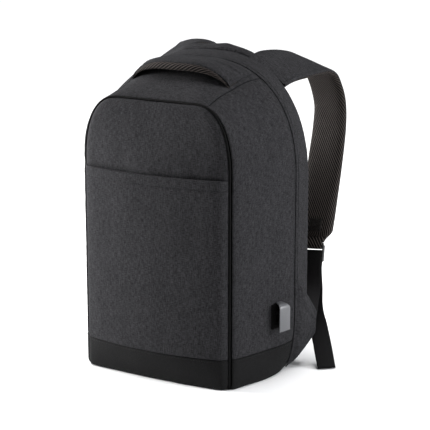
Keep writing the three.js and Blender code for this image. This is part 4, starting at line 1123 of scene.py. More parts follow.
# %% Curves and strap frames
STRAP_ROWS = np.array([
    (0.743, 0.012, 0.898, 0.355, 0.012, 0.98, 0),
    (0.757, 0.17, 0.91, 0.358, 0.19, 0.99, 0.25),
    (0.777, 0.41, 0.914, 0.368, 0.4, 0.987, 0.55),
    (0.797, 0.6, 0.916, 0.385, 0.585, 0.978, 0.78),
    (0.824, 0.755, 0.914, 0.405, 0.73, 0.965, 1),
    (0.851, 0.842, 0.897, 0.446, 0.875, 0.937, 0.9),
    (0.878, 0.882, 0.864, 0.486, 0.965, 0.878, 0.55),
    (0.909, 0.891, 0.825, 0.52, 0.992, 0.832, 0.25),
    (0.936, 0.868, 0.778, 0.547, 1, 0.783, 0.1),
    (0.979, 0.776, 0.727, 0.581, 0.914, 0.718, 0),
    (1.003, 0.707, 0.686, 0.605, 0.836, 0.681, 0),
    (1.022, 0.624, 0.617, 0.642, 0.697, 0.615, 0),
    (1.033, 0.53, 0.522, 0.692, 0.539, 0.52, 0),
    (1.045, 0.434, 0.436, 0.732, 0.411, 0.432, 0),
    (1.044, 0.37, 0.376, 0.744, 0.342, 0.369, 0),
])
STRAP_REACH, STRAP_COVER, STRAP_PAD, LEFT_LIFT, INNER_LIFT = 152.0, 2.5, 8.0, 24.0, 0.36


def smooth_curve(points, steps):
    """A centripetal curve through points, with the same spacing between them as in the source."""
    p = np.asarray(points, float)
    p = np.concatenate([[2 * p[0] - p[1]], p, [2 * p[-1] - p[-2]]])
    count = len(p) - 3
    made = []
    for k in range(steps + 1):
        at = k / steps * count
        i = min(int(at), count - 1)
        w = at - i
        p0, p1, p2, p3 = p[i:i + 4]
        d = [max(1e-4, float(np.sum((b - a) ** 2)) ** 0.25) for a, b in ((p0, p1), (p1, p2), (p2, p3))]
        t1 = ((p1 - p0) / d[0] - (p2 - p0) / (d[0] + d[1]) + (p2 - p1) / d[1]) * d[1]
        t2 = ((p2 - p1) / d[1] - (p3 - p1) / (d[1] + d[2]) + (p3 - p2) / d[2]) * d[1]
        square, cube = -3 * p1 + 3 * p2 - 2 * t1 - t2, 2 * p1 - 2 * p2 + t1 + t2
        made.append(p1 + t1 * w + square * w**2 + cube * w**3)
    return np.array(made)


def strap_frames(side, steps):
    """Centres, half-width vectors and outward normals along a strap."""
    edges = []
    for first, share in ((0, 1.0), (3, INNER_LIFT)):
        lift = STRAP_ROWS[:, 6] * share * LEFT_LIFT if side < 0 else 0
        edges.append(smooth_curve(np.stack([
            side * STRAP_ROWS[:, first] * BACK_HALF,
            BODY_DEPTH + STRAP_ROWS[:, first + 1] * STRAP_REACH,
            STRAP_ROWS[:, first + 2] * BODY_HEIGHT + lift,
        ], -1), steps))
    centre, width = (edges[0] + edges[1]) / 2, (edges[1] - edges[0]) / 2
    n = np.cross(np.gradient(centre, axis=0), width)
    return centre, width, side * n / np.linalg.norm(n, axis=-1, keepdims=True)


def corner_cut(t):
    return 1 - 0.42 * ease((t - 0.955) / 0.045)


print("strap length:", round(float(lengths(strap_frames(1, 100)[0], 0)[-1])), "mm")

# %% [markdown]
# ## Cloth above, mesh below
# On the real strap the heather cloth faces outwards and the spacer mesh lies against the wearer, with
# foam between them. Each face is its own piece here. Both are bent from the same frames, so they meet
# along the strap's edge. The left strap is pushed up near its bend in the photograph, which the crown
# below repeats.

# %% Strap cloth and strap mesh
STRAP_STEPS = 190
CROWN_HIGH, CROWN_LEAN, CROWN_FALL, CROWN_PLACE, CROWN_LENGTH = 2.8, 1.3, 6.1, 0.26, 0.08
for side, word in ((1, "right"), (-1, "left")):
    centre, width, n = strap_frames(side, STRAP_STEPS)
    t = np.linspace(0, 1, STRAP_STEPS + 1)[:, None]
    half = np.linalg.norm(width, axis=-1)[:, None]
    cut = corner_cut(t)
    x = np.sin(np.linspace(-math.pi / 2, math.pi / 2, 33))[None]
    from_edge = (1 - np.abs(x)) * half * cut
    dome = STRAP_COVER * np.sqrt(1 - np.clip(1 - from_edge / 2.2, 0, 1) ** 2)
    channel = -0.7 * np.exp(-((from_edge - 5.5) / 0.9) ** 2)

    def laid(across):
        """Points across the strap, from -1 to 1. The left strap gets its crown here."""
        p = centre[:, None] + width[:, None] * (across * cut)[..., None]
        if side < 0:
            crown = CROWN_HIGH - CROWN_LEAN * across - CROWN_FALL * across**2
            p[..., 2] += crown * np.exp(-((t - CROWN_PLACE) / CROWN_LENGTH) ** 2)
        return p

    at = laid(x)
    drape = 0.45 * noise(at, (22, 22, 30), 101 + side) * ease(from_edge / 8)
    top = at + n[:, None] * (dome + channel + drape)[..., None]
    under = laid(np.linspace(0.999, -0.999, 17)[None])
    cover = ring_mesh("strap_cloth_" + word, np.concatenate([top, under], 1), heather)
    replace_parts(cover, "strap_cover_" + word)
    CLOTH["strap_cloth_" + word] = (top, np.repeat(n[:, None], 33, 1))

    thin = 1 - 0.55 * ease((t - 0.96) / 0.04) - 0.5 * (1 - ease(t / 0.08))
    belly = STRAP_PAD * thin * np.maximum(0, 1 - np.abs(x) ** 4.5) ** 0.42
    bend = np.exp(-((t - 0.36) / 0.09) ** 2)
    crease = 0.8 * bend * noise(np.stack([0 * at[..., 0], t * 520 + 0 * x, 0 * at[..., 0]], -1), 11, 104)
    quilt = 0.3 * noise(at, 16, 103 + side) * ease(from_edge / 6)
    low = at - n[:, None] * (SEAM_GAP + belly + (crease + quilt) * ease(from_edge / 5))[..., None]
    flat = under - n[:, None] * SEAM_GAP
    pad = ring_mesh("strap_mesh_" + word, np.concatenate([low, flat], 1), air_mesh)
    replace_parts(pad, "strap_pad_" + word)
    CLOTH["strap_mesh_" + word] = (low, -np.repeat(n[:, None], 33, 1))

# %% [markdown]
# ## Locks, loops and webbing
# The strap ends in a ladder lock, held by a short loop of webbing. The long webbing is sewn to the wing
# at the bag's foot, runs up behind the lock, turns round its middle bar and hangs down loose. Webbing is
# a flat ribbon with rounded edges, so it is a row of thin outlines along a curve.

# %% Webbing ribbon and the strap's end
WEBBING_WIDTH, WEBBING_THICKNESS = 25.0, 1.5
LOCK_WIDTH, LOCK_LENGTH, LOCK_BAR, LOCK_START, BAR_PITCH, LOCK_RUN = 31.0, 23.0, 4.0, 4.0, 9.0, 12.0
PAD_PLANE = -(STRAP_PAD * 0.25 + SEAM_GAP)
BAR_REACH = LOCK_BAR / 2 + 1.5 * SEAM_GAP + WEBBING_THICKNESS / 2
LOCK_BARS = [LOCK_START + LOCK_BAR / 2 + i * BAR_PITCH for i in range(3)]


def unit(v):
    v = np.asarray(v, float)
    return v / np.linalg.norm(v)


def strap_end(side):
    """The place and the directions across, down and out at the strap's lower end."""
    centre, width, n = strap_frames(side, 34)
    across = unit(width[-1])
    down = unit(centre[-1] - centre[-3])
    down = unit(down - across * np.dot(down, across))
    return centre[-1], across, down, n[-1]


def from_end(end, across, down, out):
    return end[0] + end[1] * across + end[2] * down + end[3] * out


def ribbon(name, rows, steps, lift=0.0, wide=WEBBING_WIDTH, thick=WEBBING_THICKNESS, part=(0.0, 1.0)):
    """A band of webbing through rows of (place, unit width)."""
    total = steps * (len(rows) - 1)
    centres = smooth_curve([r[0] for r in rows], total)
    widths = smooth_curve([r[1] for r in rows], total)
    along = np.gradient(centres, axis=0)
    along /= np.linalg.norm(along, axis=-1, keepdims=True)
    across = widths - along * np.sum(widths * along, -1, keepdims=True)
    across /= np.linalg.norm(across, axis=-1, keepdims=True)
    up = np.cross(along, across)
    first, last = int(part[0] * total), int(part[1] * total) + 1
    corner = np.linspace(0, math.pi, 7)
    outline_x = np.concatenate([1 - thick / wide + np.sin(corner) * thick / wide,
                                -1 + thick / wide - np.sin(corner) * thick / wide])
    outline_z = np.concatenate([np.cos(corner), -np.cos(corner)]) * thick / 2
    rings = (centres[:, None] + across[:, None] * (outline_x * wide / 2)[None, :, None]
             + up[:, None] * (outline_z + lift)[None, :, None])[first:last]
    CLOTH[name] = (centres[first:last], across[first:last], up[first:last], lift)
    return ring_mesh(name, rings, webbing)


def half_turn(end, bar, sign):
    rows = []
    for a in np.linspace(0, math.pi, 9):
        down = bar + sign * BAR_REACH * math.sin(a)
        rows.append((from_end(end, 0, down, PAD_PLANE + sign * BAR_REACH * math.cos(a)), end[1]))
    return rows


TONGUE_ROWS = [(-11, 3.2, 16, 0.7), (-8, 3.9, 15.4, 1.4), (-5, 4.9, 14.8, 1.7), (-2, 6.2, 14, 1.7),
               (1, 7.2, 13.3, 1.5), (4, 7.5, 13, 1.3), (8.8, 7.5, 12.8, 1.2), (10.5, 7.4, 12.6, 0.8)]


def tongue(side, word):
    """The pad's narrow end, which hides where the loop is sewn in."""
    end = strap_end(side)
    rings = []
    a = np.linspace(0, 2 * math.pi, 28, endpoint=False)
    c, s = np.cos(a), np.sin(a)
    shape = np.stack([np.sign(c) * np.abs(c) ** 0.5, np.sign(s) * np.abs(s) ** 0.8], -1)
    for down, back, wide, thick in TONGUE_ROWS:
        rings.append([from_end(end, p * wide, down, -back + q * thick) for p, q in shape])
    rings = np.array(rings)
    rings = rings + 0.15 * noise(rings, 6, 107)[..., None]
    return ring_mesh("strap_tongue_" + word, rings, air_mesh)


# %% [markdown]
# ## Where the webbing runs
# The long webbing is one piece: up from the wing, round the lock's bar and down to its loose end near
# the floor. It twists slowly as it hangs, so each row of its table holds a place and the direction
# across.

# %% Loop, long webbing and loose end
WING_FLARE, WING_REACH, WING_HEIGHT, WING_TIP, WING_BELLY, WING_THICKNESS = 8.0, 23.0, 128.0, 54.0, 2.5, 3.2
TAIL_ROWS = [(0.23, 0.36, 0.45, 0.05), (0.4, 0.58, 0.6, 0.12), (0.525, 0.65, 0.71, 0.25),
             (0.63, 0.56, 0.7, 0.4), (0.81, 0.29, 0.39, 0.75), (1, 0, 0, 1)]


def turned(share, a, b):
    return unit(np.asarray(a) + (np.asarray(b) - np.asarray(a)) * share)


def long_rows(side, end):
    across = end[1]
    sewn = np.array([-side * 0.13, -0.99, 0])
    anchor = np.array([side * (BACK_HALF - WING_FLARE / 8), BODY_DEPTH + WING_REACH * 0.61, WING_TIP * 1.07])
    inside = from_end(end, 0, LOCK_BARS[2] + LOCK_RUN, PAD_PLANE - BAR_REACH)
    outside = from_end(end, 0, LOCK_BARS[2] + LOCK_RUN, PAD_PLANE + BAR_REACH)
    floor_end = np.array([side * (BACK_HALF + 36), BODY_DEPTH - 10, 2.0])
    floor_width = np.array([-side * 0.75, -0.66, 0])
    go = lambda share: anchor + (inside - anchor) * share
    rows = [(anchor, sewn), (go(0.12) + [side * WING_FLARE / 8, 0, 0], sewn),
            (go(0.4), turned(0.3, sewn, across)), (go(0.75), turned(0.8, sewn, across)), (inside, across),
            (from_end(end, 0, LOCK_BARS[2], PAD_PLANE - BAR_REACH), across)]
    rows += half_turn(end, LOCK_BARS[1], -1)
    rows += [(from_end(end, 0, LOCK_BARS[2], PAD_PLANE + BAR_REACH), across), (outside, across)]
    for run, inwards, back, turn in TAIL_ROWS:
        aside = np.array([-side * inwards, back, 0]) * WEBBING_WIDTH
        at = outside + (floor_end - outside) * run + aside
        rows.append((at, turned(turn, across, floor_width)))
    return rows


for side, word in ((1, "right"), (-1, "left")):
    tongue(side, word)
    end = strap_end(side)
    rows = [(from_end(end, 0, 2 * SEAM_GAP, PAD_PLANE + BAR_REACH), end[1])]
    rows += half_turn(end, LOCK_BARS[0], 1)
    rows.append((from_end(end, 0, 2 * SEAM_GAP, PAD_PLANE - BAR_REACH), end[1]))
    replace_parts(ribbon("loop_webbing_" + word, rows, 4), "lock_loop_" + word)
    rows = long_rows(side, end)
    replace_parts(ribbon("long_webbing_" + word, rows, 8), "strap_webbing_" + word)
    ribbon("tail_hem_" + word, rows, 8, lift=-side * -(WEBBING_THICKNESS + 0.1), part=(0.957, 0.997))

# %% [markdown]
# ## Ladder locks
# A ladder lock is a small moulded buckle: two cheeks, two round bars and a lip to lift it by. It is hard
# plastic, so its edges get a small bevel that catches the light. Each bar and cheek is its own closed
# shape.

# %% Ladder locks
def end_turn(end):
    """The turn from plain axes to a strap end's directions."""
    third = np.cross(end[1], end[2])
    return Matrix([(end[1][k], end[2][k], third[k]) for k in range(3)]).to_4x4()


def add_box(work, end, across, down, out, size, bevel):
    """A bevelled box with its sides along the strap end's directions."""
    turn = end_turn(end)
    place = to_row(from_end(end, across, down, out))
    made = bmesh.ops.create_cube(work, size=1.0)
    scale = Matrix.Diagonal((size[0] * 0.001, size[1] * 0.001, size[2] * 0.001, 1))
    bmesh.ops.transform(work, matrix=Matrix.Translation(place) @ turn @ scale, verts=made["verts"])
    edges = list({e for v in made["verts"] for e in v.link_edges})
    bmesh.ops.bevel(work, geom=edges, offset=bevel * 0.001, segments=3, profile=0.5, affect="EDGES")


def add_bar(work, end, down, out, length, radius):
    """A round bar across the strap's end."""
    turn = end_turn(end)
    place = to_row(from_end(end, 0, down, out))
    spin = Matrix.Rotation(math.pi / 2, 4, "Y")
    bmesh.ops.create_cone(work, cap_ends=True, segments=28, radius1=radius * 0.001, radius2=radius * 0.001,
                          depth=length * 0.001, matrix=Matrix.Translation(place) @ turn @ spin)


def finished(name, work, material, sharp=None):
    """The mesh of a bmesh as a riding piece, with its normals outwards."""
    bmesh.ops.recalc_face_normals(work, faces=work.faces)
    mesh = bpy.data.meshes.new(name)
    work.to_mesh(mesh)
    work.free()
    mesh.polygons.foreach_set("use_smooth", [True] * len(mesh.polygons))
    if sharp:
        mesh.set_sharp_from_angle(angle=math.radians(sharp))
    made = bpy.data.objects.new(name, mesh)
    bpy.context.scene.collection.objects.link(made)
    made.data.materials.append(material)
    print(f"{name}: {len(mesh.polygons)} faces")
    return made


for side, word in ((1, "right"), (-1, "left")):
    end = strap_end(side)
    work = bmesh.new()
    cheek = (LOCK_WIDTH - WEBBING_WIDTH) / 2 - 2 * SEAM_GAP
    middle = LOCK_START + LOCK_LENGTH / 2
    for hand in (1, -1):
        across, size = hand * (LOCK_WIDTH - 1 - cheek) / 2, (cheek - 0.2, LOCK_LENGTH, LOCK_BAR + 2)
        add_box(work, end, across, middle, PAD_PLANE, size, 1)
    for bar in LOCK_BARS[:2]:
        add_bar(work, end, bar, PAD_PLANE, LOCK_WIDTH - cheek, LOCK_BAR / 2)
    add_box(work, end, 0, LOCK_BARS[2], PAD_PLANE, (LOCK_WIDTH - cheek, LOCK_BAR + 1.5, LOCK_BAR), 0.9)
    lock = finished("ladder_lock_moulded_" + word, work, lock_plastic, 40)
    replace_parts(lock, "ladder_lock_" + word)

# %% [markdown]
# ## The wings at the foot
# The long webbing is sewn to a triangle of doubled cloth that grows out of the side seam. Its pull sets
# soft creases running from the tip towards the seam. The grid below follows the CAD wing, row by row,
# and those creases fan out from its tip.

# %% Anchor wings
def wing(side, word):
    rows = edge_shares(WING_HEIGHT, 2.6, 1.3)
    cols = edge_shares(60, 1.8, 1.3)
    s = section_at(ZIP_DEPTH)
    tip_high = np.array([BACK_HALF + WING_FLARE / 2, BODY_DEPTH + WING_REACH, WING_TIP * 1.25])
    tip_low = np.array([BACK_HALF + WING_FLARE, BODY_DEPTH + WING_REACH * 0.5, WING_TIP * 0.8])
    offset = WING_THICKNESS + 2 * SEAM_GAP
    grid = np.zeros((len(rows), len(cols), 3))
    for r, down in enumerate(rows):
        z = WING_HEIGHT + (SEAM_GAP + 1 - WING_HEIGHT) * down
        slope = float(half_width(s, z + 1) - half_width(s, z)) * offset
        seam = np.array([float(half_width(s, z)) + math.hypot(offset, slope), ZIP_DEPTH + SEAM_GAP, z])
        tip = tip_high + (tip_low - tip_high) * down
        p = seam + (tip - seam) * cols[:, None]
        p[:, 0] += WING_BELLY * np.sin(math.pi * cols)
        grid[r] = p * [side, 1, 1]
    away = np.array([0, 56, 64.0])
    n = grid_normals(grid, away)
    down, out = np.meshgrid(rows, cols, indexing="ij")
    fan = np.arctan2((down - 0.42) * 74, (1.12 - out) * 40)
    creases = np.sin(fan * 9.0 + 0.7) * 0.75 * ease(out / 0.25) * (1 - 0.6 * ease((out - 0.8) / 0.2))
    ends = np.minimum(rows[:, None] * WING_HEIGHT + 0 * out, (1 - rows[:, None]) * WING_HEIGHT + 0 * out)
    rim = np.minimum(ends, (1 - out) * 46)
    fall = 2.9 * (1 - ease(out * 46 / 9))
    sink = 1.5 * (1 - np.sqrt(1 - np.clip(1 - rim / 1.6, 0, 1) ** 2))
    lift = creases * ease(rim / 5) + 0.5 * noise(grid, 18, 111) * ease(rim / 8) - sink - fall
    outer = grid + n * lift[..., None]
    inner = grid - n * (WING_THICKNESS + 0.2 - 0.9 * sink)[..., None]
    CLOTH["wing_cloth_" + word] = (outer, grid_normals(outer, away))
    made = sheet_mesh("wing_cloth_" + word, outer, inner, heather)
    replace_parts(made, "anchor_wing_" + word)


for side, word in ((1, "right"), (-1, "left")):
    wing(side, word)

# %% [markdown]
# ## Padded pieces by simulation
# The yoke between the straps and the pads against the back are stuffed. Cloth simulation gives such
# pieces their crown: cloth with a little air pressure inside swells the solid, and no point may move
# further than a cap. A solid of uneven faces is remeshed first. Folds are pressed in afterwards, because
# they would be lost.

# %% Swelling a solid with cloth
def evened(made, voxel):
    """Remeshes a solid evenly."""
    even = made.modifiers.new("even", "REMESH")
    even.mode, even.voxel_size = "VOXEL", voxel
    applied(made)


def swollen(made, pressure, cap, material, frames=20, stiff=15):
    """Blows a piece up a little by cloth simulation, and makes the result its mesh. cap is in metres."""
    rest = vertex_places(made.data)
    cloth = made.modifiers.new("cloth", "CLOTH")
    cloth.settings.use_pressure = True
    cloth.settings.uniform_pressure_force = pressure
    cloth.settings.effector_weights.gravity = 0
    cloth.settings.quality = 5
    cloth.settings.tension_stiffness = cloth.settings.compression_stiffness = stiff
    for number in range(1, frames + 1):
        bpy.context.scene.frame_set(number)
    ready = made.evaluated_get(bpy.context.evaluated_depsgraph_get())
    move = vertex_places(ready.data) - rest
    size = np.linalg.norm(move, axis=-1, keepdims=True)
    move *= np.minimum(1, cap / np.maximum(size, 1e-9))
    made.modifiers.clear()
    bpy.context.scene.frame_set(1)
    made.data.vertices.foreach_set("co", (rest + move).astype(np.float32).ravel())
    print(made.name, "moved by up to", round(float(size.max()) * 1000, 1), "mm before the cap")
    made.data.materials.clear()
    made.data.materials.append(material)
    subdivided(made)
    made.data.polygons.foreach_set("use_smooth", [True] * len(made.data.polygons))


def subdivided(made):
    """One level of subdivision, made part of the mesh."""
    modifier = made.modifiers.new("finer", "SUBSURF")
    modifier.levels = modifier.render_levels = 1
    applied(made)


def flat_map(made, first, second):
    """Writes the cloth map from two axes of the mesh, for pieces that a remesh left without one."""
    layer = made.data.uv_layers.get("cloth") or made.data.uv_layers.new(name="cloth")
    places = vertex_places(made.data)
    at = np.array([l.vertex_index for l in made.data.loops])
    layer.data.foreach_set("uv", (places[at][:, [first, second]] + 1.0).astype(np.float32).ravel())


def press(made, change):
    """Moves each vertex by what change says, in metres."""
    places = vertex_places(made.data)
    made.data.vertices.foreach_set("co", (places + change(places)).astype(np.float32).ravel())
    made.data.update()


# %% [markdown]
# ## The yoke
# Between the straps' roots lies a stuffed roll of cloth. Its outline is a row of ovals that follow the
# top edge of the back. The simulation rounds it, and the folds where the straps pull on it are pressed
# in at the end.

# %% Yoke between the straps
YOKE_RUN, YOKE_RISE, YOKE_DEPTH, YOKE_HANG = 112.0, 7.0, 24.0, 9.0
rings = []
for share in np.linspace(-1, 1, 41):
    x = share * YOKE_RUN / 2
    high = float(top_height(np.array(x), BODY_DEPTH)) - 1
    centre = np.array([x, BODY_DEPTH + SEAM_GAP + 0.8 + YOKE_DEPTH / 2, high])
    taper = math.sqrt(max(0.2, 1 - share**6))
    a = np.linspace(0, 2 * math.pi, 28, endpoint=False)
    up = np.where(np.sin(a) > 0, YOKE_RISE, YOKE_HANG) * np.sin(a) * taper
    rings.append(centre + np.stack([0 * a, np.cos(a) * YOKE_DEPTH / 2 * (0.75 + 0.25 * taper), up], -1))
yoke = ring_mesh("yoke_roll", np.array(rings), heather)
evened(yoke, 0.0028)
swollen(yoke, 4, 0.0012, heather)


def yoke_folds(p):
    crossing = np.sin(p[:, 0] * 95 + 0.6) * 0.0009 + noise(p * 1000, 13, 121) * 0.0006
    up = np.clip((p[:, 2] - 0.415) / 0.008, 0, 1)
    return np.stack([0 * up, 0 * up, crossing * up], -1)


press(yoke, yoke_folds)
flat_map(yoke, 0, 1)
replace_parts(yoke, "strap_yoke")

# %% [markdown]
# ## The panel against the back
# The photograph doesn't show the back, so it is finished plainly: a flat hem of black cloth all round,
# and four mesh pads on it with channels between them for air. Each pad starts as a flat slab, a little
# thinner than it will be. Air pressure crowns it, and it keeps its edge where it would be sewn.

# %% Hem and four mesh pads
PAD_INSET, PAD_CUTBACK, PAD_BORDER, PAD_CROWN, PAD_CHANNEL = 2.5, 13.0, 15.0, 6.2, 4.5
REAR = section_at(BODY_DEPTH)
ring = outline(whole_round, np.array([BODY_DEPTH]), np.linspace(0, 1, 241)[:-1])[:, 0]
ring[:, 2] = np.maximum(ring[:, 2], 0.6)
centre = np.array([0, BODY_DEPTH, BODY_HEIGHT / 2])
to_centre = centre - ring
reach = np.linalg.norm(to_centre, axis=-1, keepdims=True)
above_foot = ring[:, 2:] - (REAR["top"] - REAR["drop"])
cut = 0.4 + (PAD_INSET - 0.4) * ease(ring[:, 2:] / 30) + PAD_CUTBACK * ease(above_foot / (REAR["drop"] / 3))
runs = np.concatenate([np.array([0, 0.5, 1.2, 3, 6, 9]) / 100, np.linspace(0.14, 1, 12)])
grid = ring[:, None] + to_centre[:, None] * (cut / reach + (1 - cut / reach) * runs[None])[..., None]
roll_in = 1.2 * (1 - np.sqrt(1 - np.clip(1 - runs * 100 / 1.3, 0, 1) ** 2))
outer = grid + [0, 1, 0] * (2.3 - roll_in + 0.12 * noise(grid, 14, 125))[..., None]
CLOTH["back_hem"] = (outer, 0 * outer + [0, 1, 0])
hem = sheet_mesh("back_hem", outer, grid + [0, SEAM_GAP, 0], base_cloth, wrap=True)
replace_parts(hem, "back_panel")


def rear_half_width(z):
    foot = REAR["top"] - REAR["drop"]
    share = np.clip((z - foot) / REAR["drop"], 0, 1)
    rounded = REAR["flat"] + (REAR["half"] - REAR["flat"]) * shoulder_curve(share)
    cut_in = PAD_BORDER + PAD_CUTBACK * ease((z - foot) / (REAR["drop"] / 3))
    return np.where(z <= foot, half_width(REAR, z), rounded) - cut_in


def back_pad(name, side, low, high):
    z = np.linspace(low, high, int((high - low) / 4.5))
    across = np.linspace(0, 1, 30)
    zz, uu = np.meshgrid(z, across, indexing="ij")
    wide = rear_half_width(zz)
    corner = np.minimum(zz - low, high - zz)
    tuck = 7 * (1 - np.sqrt(1 - np.clip(1 - corner / 7, 0, 1) ** 2))
    x = PAD_CHANNEL + tuck * 0.8 + (wide - PAD_CHANNEL - 1.8 * tuck) * uu
    edge = np.minimum(np.minimum(uu, 1 - uu) * (wide - PAD_CHANNEL), corner)
    crown = PAD_CROWN * (1 - np.exp(-edge / 4.5)) + 0.5
    base = np.stack([side * x, 0 * x + BODY_DEPTH + 2.5, zz], -1)
    made = sheet_mesh(name, base + [0, 1, 0] * crown[..., None], base, air_mesh)
    swollen(made, 4, 0.0022, air_mesh)
    press(made, lambda p: noise(p * 1000, 20, 127)[:, None] * 0.0004 * np.array([0, 1, 0]))
    flat_map(made, 0, 2)
    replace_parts(made, "back_panel")
    return made


pads = [back_pad("back_pad_" + word, side, low, high) for word, side, low, high in (
    ("low_right", 1, 18.0, 196.0), ("low_left", -1, 18.0, 196.0),
    ("high_right", 1, 204.0, 388.0), ("high_left", -1, 204.0, 388.0))]
print("pads:", [p.name for p in pads])

# %% [markdown]
# ## The charging port
# A small grey hood is clipped to the side wall over a dark plate, open towards the front and below, with
# a dark socket in it. The plate reaches forward past the hood's open front, where it also paints the
# hood's shade on the wall. The hood is the only hard, pale thing on the bag, so its edges matter: the hood
# starts as a block with two generous rounds, gets a fine bevel on all its edges, and is then hollowed by
# a longer, thinner block.

# %% Port hood
PORT_HEIGHT, PORT_RUN, PORT_DEPTH, PORT_SHELL, PORT_ROUND = 37.5, 20.0, 13.0, 1.6, 9.0
PORT_FLOOR, PORT_PLACE = 67.5, 77.0
SHADE_PLATE_PLACE, SHADE_PLATE_SIZE = (8.2, 18.6, 0.3), (21.5, 33.5, 2.4, 1)


def rounded_profile(wide, high, radius, steps=10):
    """A rectangle with its far upper corner rounded, as points round it."""
    a = np.linspace(0, math.pi / 2, steps)
    arc = np.stack([wide - radius + radius * np.cos(a), high - radius + radius * np.sin(a)], -1)
    return np.concatenate([[[0, 0], [wide, 0]], arc, [[0, high]]])


def hood_block(run, high, deep, radius, place):
    """The hood's solid in its own frame: along, up, out. Rounded as seen from the side and along it."""
    made = []
    for profile, length, axes in ((rounded_profile(run, high, radius), deep, (0, 1, 2)),
                                  (rounded_profile(deep, high, radius * 0.7), run, (2, 1, 0))):
        work = bmesh.new()
        ends = []
        for far in (0, length):
            verts = []
            for a, b in profile:
                p = [0, 0, 0]
                p[axes[0]], p[axes[1]], p[axes[2]] = a, b, far
                verts.append(work.verts.new([v + w for v, w in zip(p, place)]))
            ends.append(verts)
        count = len(profile)
        for i in range(count):
            j = (i + 1) % count
            work.faces.new((ends[0][i], ends[0][j], ends[1][j], ends[1][i]))
        work.faces.new(ends[0][::-1])
        work.faces.new(ends[1])
        bmesh.ops.recalc_face_normals(work, faces=work.faces)
        mesh = bpy.data.meshes.new("hood_part")
        work.to_mesh(mesh)
        work.free()
        made.append(bpy.data.objects.new("hood_part", mesh))
        bpy.context.scene.collection.objects.link(made[-1])
    combine(made[0], made[1], "INTERSECT")
    return made[0]


def combine(a, b, operation):
    """Changes a by b, and removes b."""
    modifier = a.modifiers.new("combine", "BOOLEAN")
    modifier.operation, modifier.object, modifier.solver = operation, b, "EXACT"
    applied(a)
    bpy.data.objects.remove(b)


middle = PORT_FLOOR + PORT_HEIGHT / 2


def wall_at(y):
    return np.array([float(half_width(section_at(y), middle)), y, PORT_FLOOR])


port_front, port_rear = wall_at(PORT_PLACE - PORT_RUN / 2), wall_at(PORT_PLACE + PORT_RUN / 2)
along = unit(port_rear - port_front)
out = np.cross(along, [0, 0, 1.0])
port_place = port_front + out * 3 * SEAM_GAP
hood_piece = hood_block(PORT_RUN, PORT_HEIGHT, PORT_DEPTH, PORT_ROUND, (0, 0, 0))
bevel = hood_piece.modifiers.new("edges", "BEVEL")
bevel.width, bevel.segments, bevel.limit_method, bevel.angle_limit = 0.9, 3, "ANGLE", math.radians(35)
applied(hood_piece)
cavity = hood_block(PORT_RUN, PORT_HEIGHT + 5 - PORT_SHELL, PORT_DEPTH, PORT_ROUND - PORT_SHELL,
                    (-PORT_SHELL, -5, -PORT_SHELL))
combine(hood_piece, cavity, "DIFFERENCE")
for v in hood_piece.data.vertices:
    high = min(1, max(0, (v.co.y - PORT_HEIGHT + 12) / 10)) * max(0, 1 - v.co.z / PORT_DEPTH)
    v.co.x += 7 * high * (1 - v.co.x / PORT_RUN)
turn = Matrix(((along[0], 0, out[0]), (along[1], 0, out[1]), (along[2], 1, out[2]))).to_4x4()
on_wall = Matrix.Translation(to_row(port_place)) @ turn @ Matrix.Scale(0.001, 4)
hood_piece.data.transform(on_wall)
work = bmesh.new()
work.from_mesh(hood_piece.data)
bpy.data.objects.remove(hood_piece)
port_hood = finished("port_hood_moulded", work, port_plastic, 38)
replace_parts(port_hood, "port_hood")

# A dark plate under the hood. Past the hood's open front it is painted shade of the hood on the wall.
work = bmesh.new()
bmesh.ops.create_cube(work, size=1.0, matrix=Matrix.Translation(SHADE_PLATE_PLACE) @ Matrix.Diagonal(SHADE_PLATE_SIZE))
bmesh.ops.bevel(work, geom=list(work.edges), offset=1.0, segments=3, profile=0.5, affect="EDGES")
bmesh.ops.transform(work, matrix=on_wall, verts=work.verts)
finished("port_plate_and_shade", work, socket_plastic, 38)
frame["nodes"]["port_socket"].data.materials.clear()
frame["nodes"]["port_socket"].data.materials.append(socket_plastic)

# %% [markdown]
# ## Patches and stitches
# Stitches are small, but they say that the bag is sewn. Rows of them run beside the seams, along the
# straps and round the patches, all made by the same tree from lines on the finished cloth.

# %% Strap patches
def patch_frame(side):
    centre, width, n = strap_frames(side, 34)
    place = int(math.floor(34 * 0.935 + 0.5))
    across = unit(width[place])
    down = centre[place] - centre[place - 1]
    down = unit(down - across * np.dot(down, across))
    return centre[place] - n[place] * (STRAP_PAD + 2 * SEAM_GAP + 0.6 + 0.4), across, down, n[place]


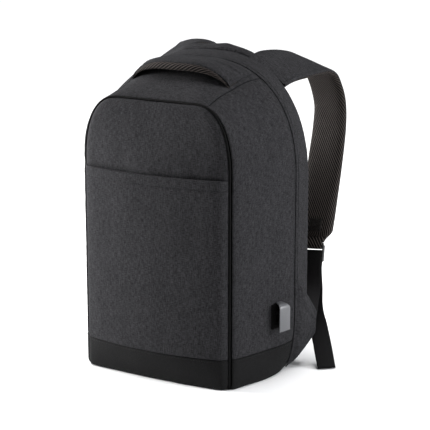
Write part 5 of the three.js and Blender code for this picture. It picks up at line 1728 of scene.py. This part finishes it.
patch_paths = []
for side, word in ((1, "right"), (-1, "left")):
    centre, across, down, n = patch_frame(side)
    line = np.linspace(-1, 1, 13)
    a, b = np.meshgrid(line, line, indexing="ij")
    bow = 0.6 * (1 - a * a) * (1 - b * b)
    place = centre + across * (a * 9)[..., None] + down * (b * 9)[..., None]
    flat_top = 0.6 * np.maximum(0, 1 - np.maximum(np.abs(a), np.abs(b)) ** 10)
    outer = place - n * (flat_top + bow * 0.4)[..., None]
    inner = place + n * 0.6
    made = sheet_mesh("stitched_patch_" + word, outer, inner, patch_cloth)
    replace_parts(made, "strap_patch_" + word)
    lifted = centre - n * 0.95
    square = [(-7.4, -7.4), (7.4, -7.4), (7.4, 7.4), (-7.4, 7.4), (-7.4, -7.4)]
    for line in (square, [(-7.4, -7.4), (7.4, 7.4)], [(7.4, -7.4), (-7.4, 7.4)]):
        fine = np.concatenate([np.linspace(p, q, 9) for p, q in zip(line[:-1], line[1:])])
        patch_paths.append(np.array([lifted + across * x + down * y for x, y in fine]))

# %% [markdown]
# ## Rows of stitches
# A sewing machine keeps one stitch length and one distance from the edge, which makes the rows look
# neat. Each row below is a line beside a border of a finished cloth, and the tree spaces the stitches
# along it.

# %% Stitches along the seams
seam_paths = []
for word in ("right", "left"):
    seam_paths.append(beside("side_cloth_" + word, "last row", 3.6))
    seam_paths.append(beside("side_cloth_" + word, "last column", 3.4))
seam_paths.append(beside("top_cloth", "last column", 3.4))
seam_paths.append(beside("pocket_cloth", "last row", 13.0, start=0.05, stop=0.95))
seam_paths.append(beside("handle_hood", "first column", 4.0, start=0.08, stop=0.92))
seam_paths.append(beside("seam_flap", "first column", 1.9))
follow("body_stitches", STITCHES, seam_paths, thread, "fabric")

base_paths = [beside("back_hem", "first column", 3.2), beside("front_foot_cloth", "last row", 3.0),
              beside("base_cloth_tub", "first row", 3.0), beside("base_cloth_tub", "last row", 3.0)]
follow("base_stitches", STITCHES, base_paths, dark_thread, "trim")

strap_paths = []
for word in ("right", "left"):
    strap_paths += [beside("strap_cloth_" + word, "first column", 5.5, 0.1),
                    beside("strap_cloth_" + word, "last column", 5.5, 0.1)]
    strap_paths += [beside("wing_cloth_" + word, border, 3.4)
                    for border in ("first row", "last row", "last column")]
follow("strap_stitches", STITCHES, strap_paths, thread, "fabric")
follow("patch_stitches", STITCHES, patch_paths, dark_thread, "webbing", Pitch=0.0026, Length=0.0021)

# %% [markdown]
# ## Riding on the frame
# The bag has no joints, so every new piece rides on its one body.

# %% Ride, measure and finish
for piece in bpy.context.scene.objects:
    if piece.type == "MESH" and not piece.get("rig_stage") and "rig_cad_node" not in piece:
        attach(piece, "root")
low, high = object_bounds()
print("visual box:", [round(v, 4) for v in (*low, *high)])
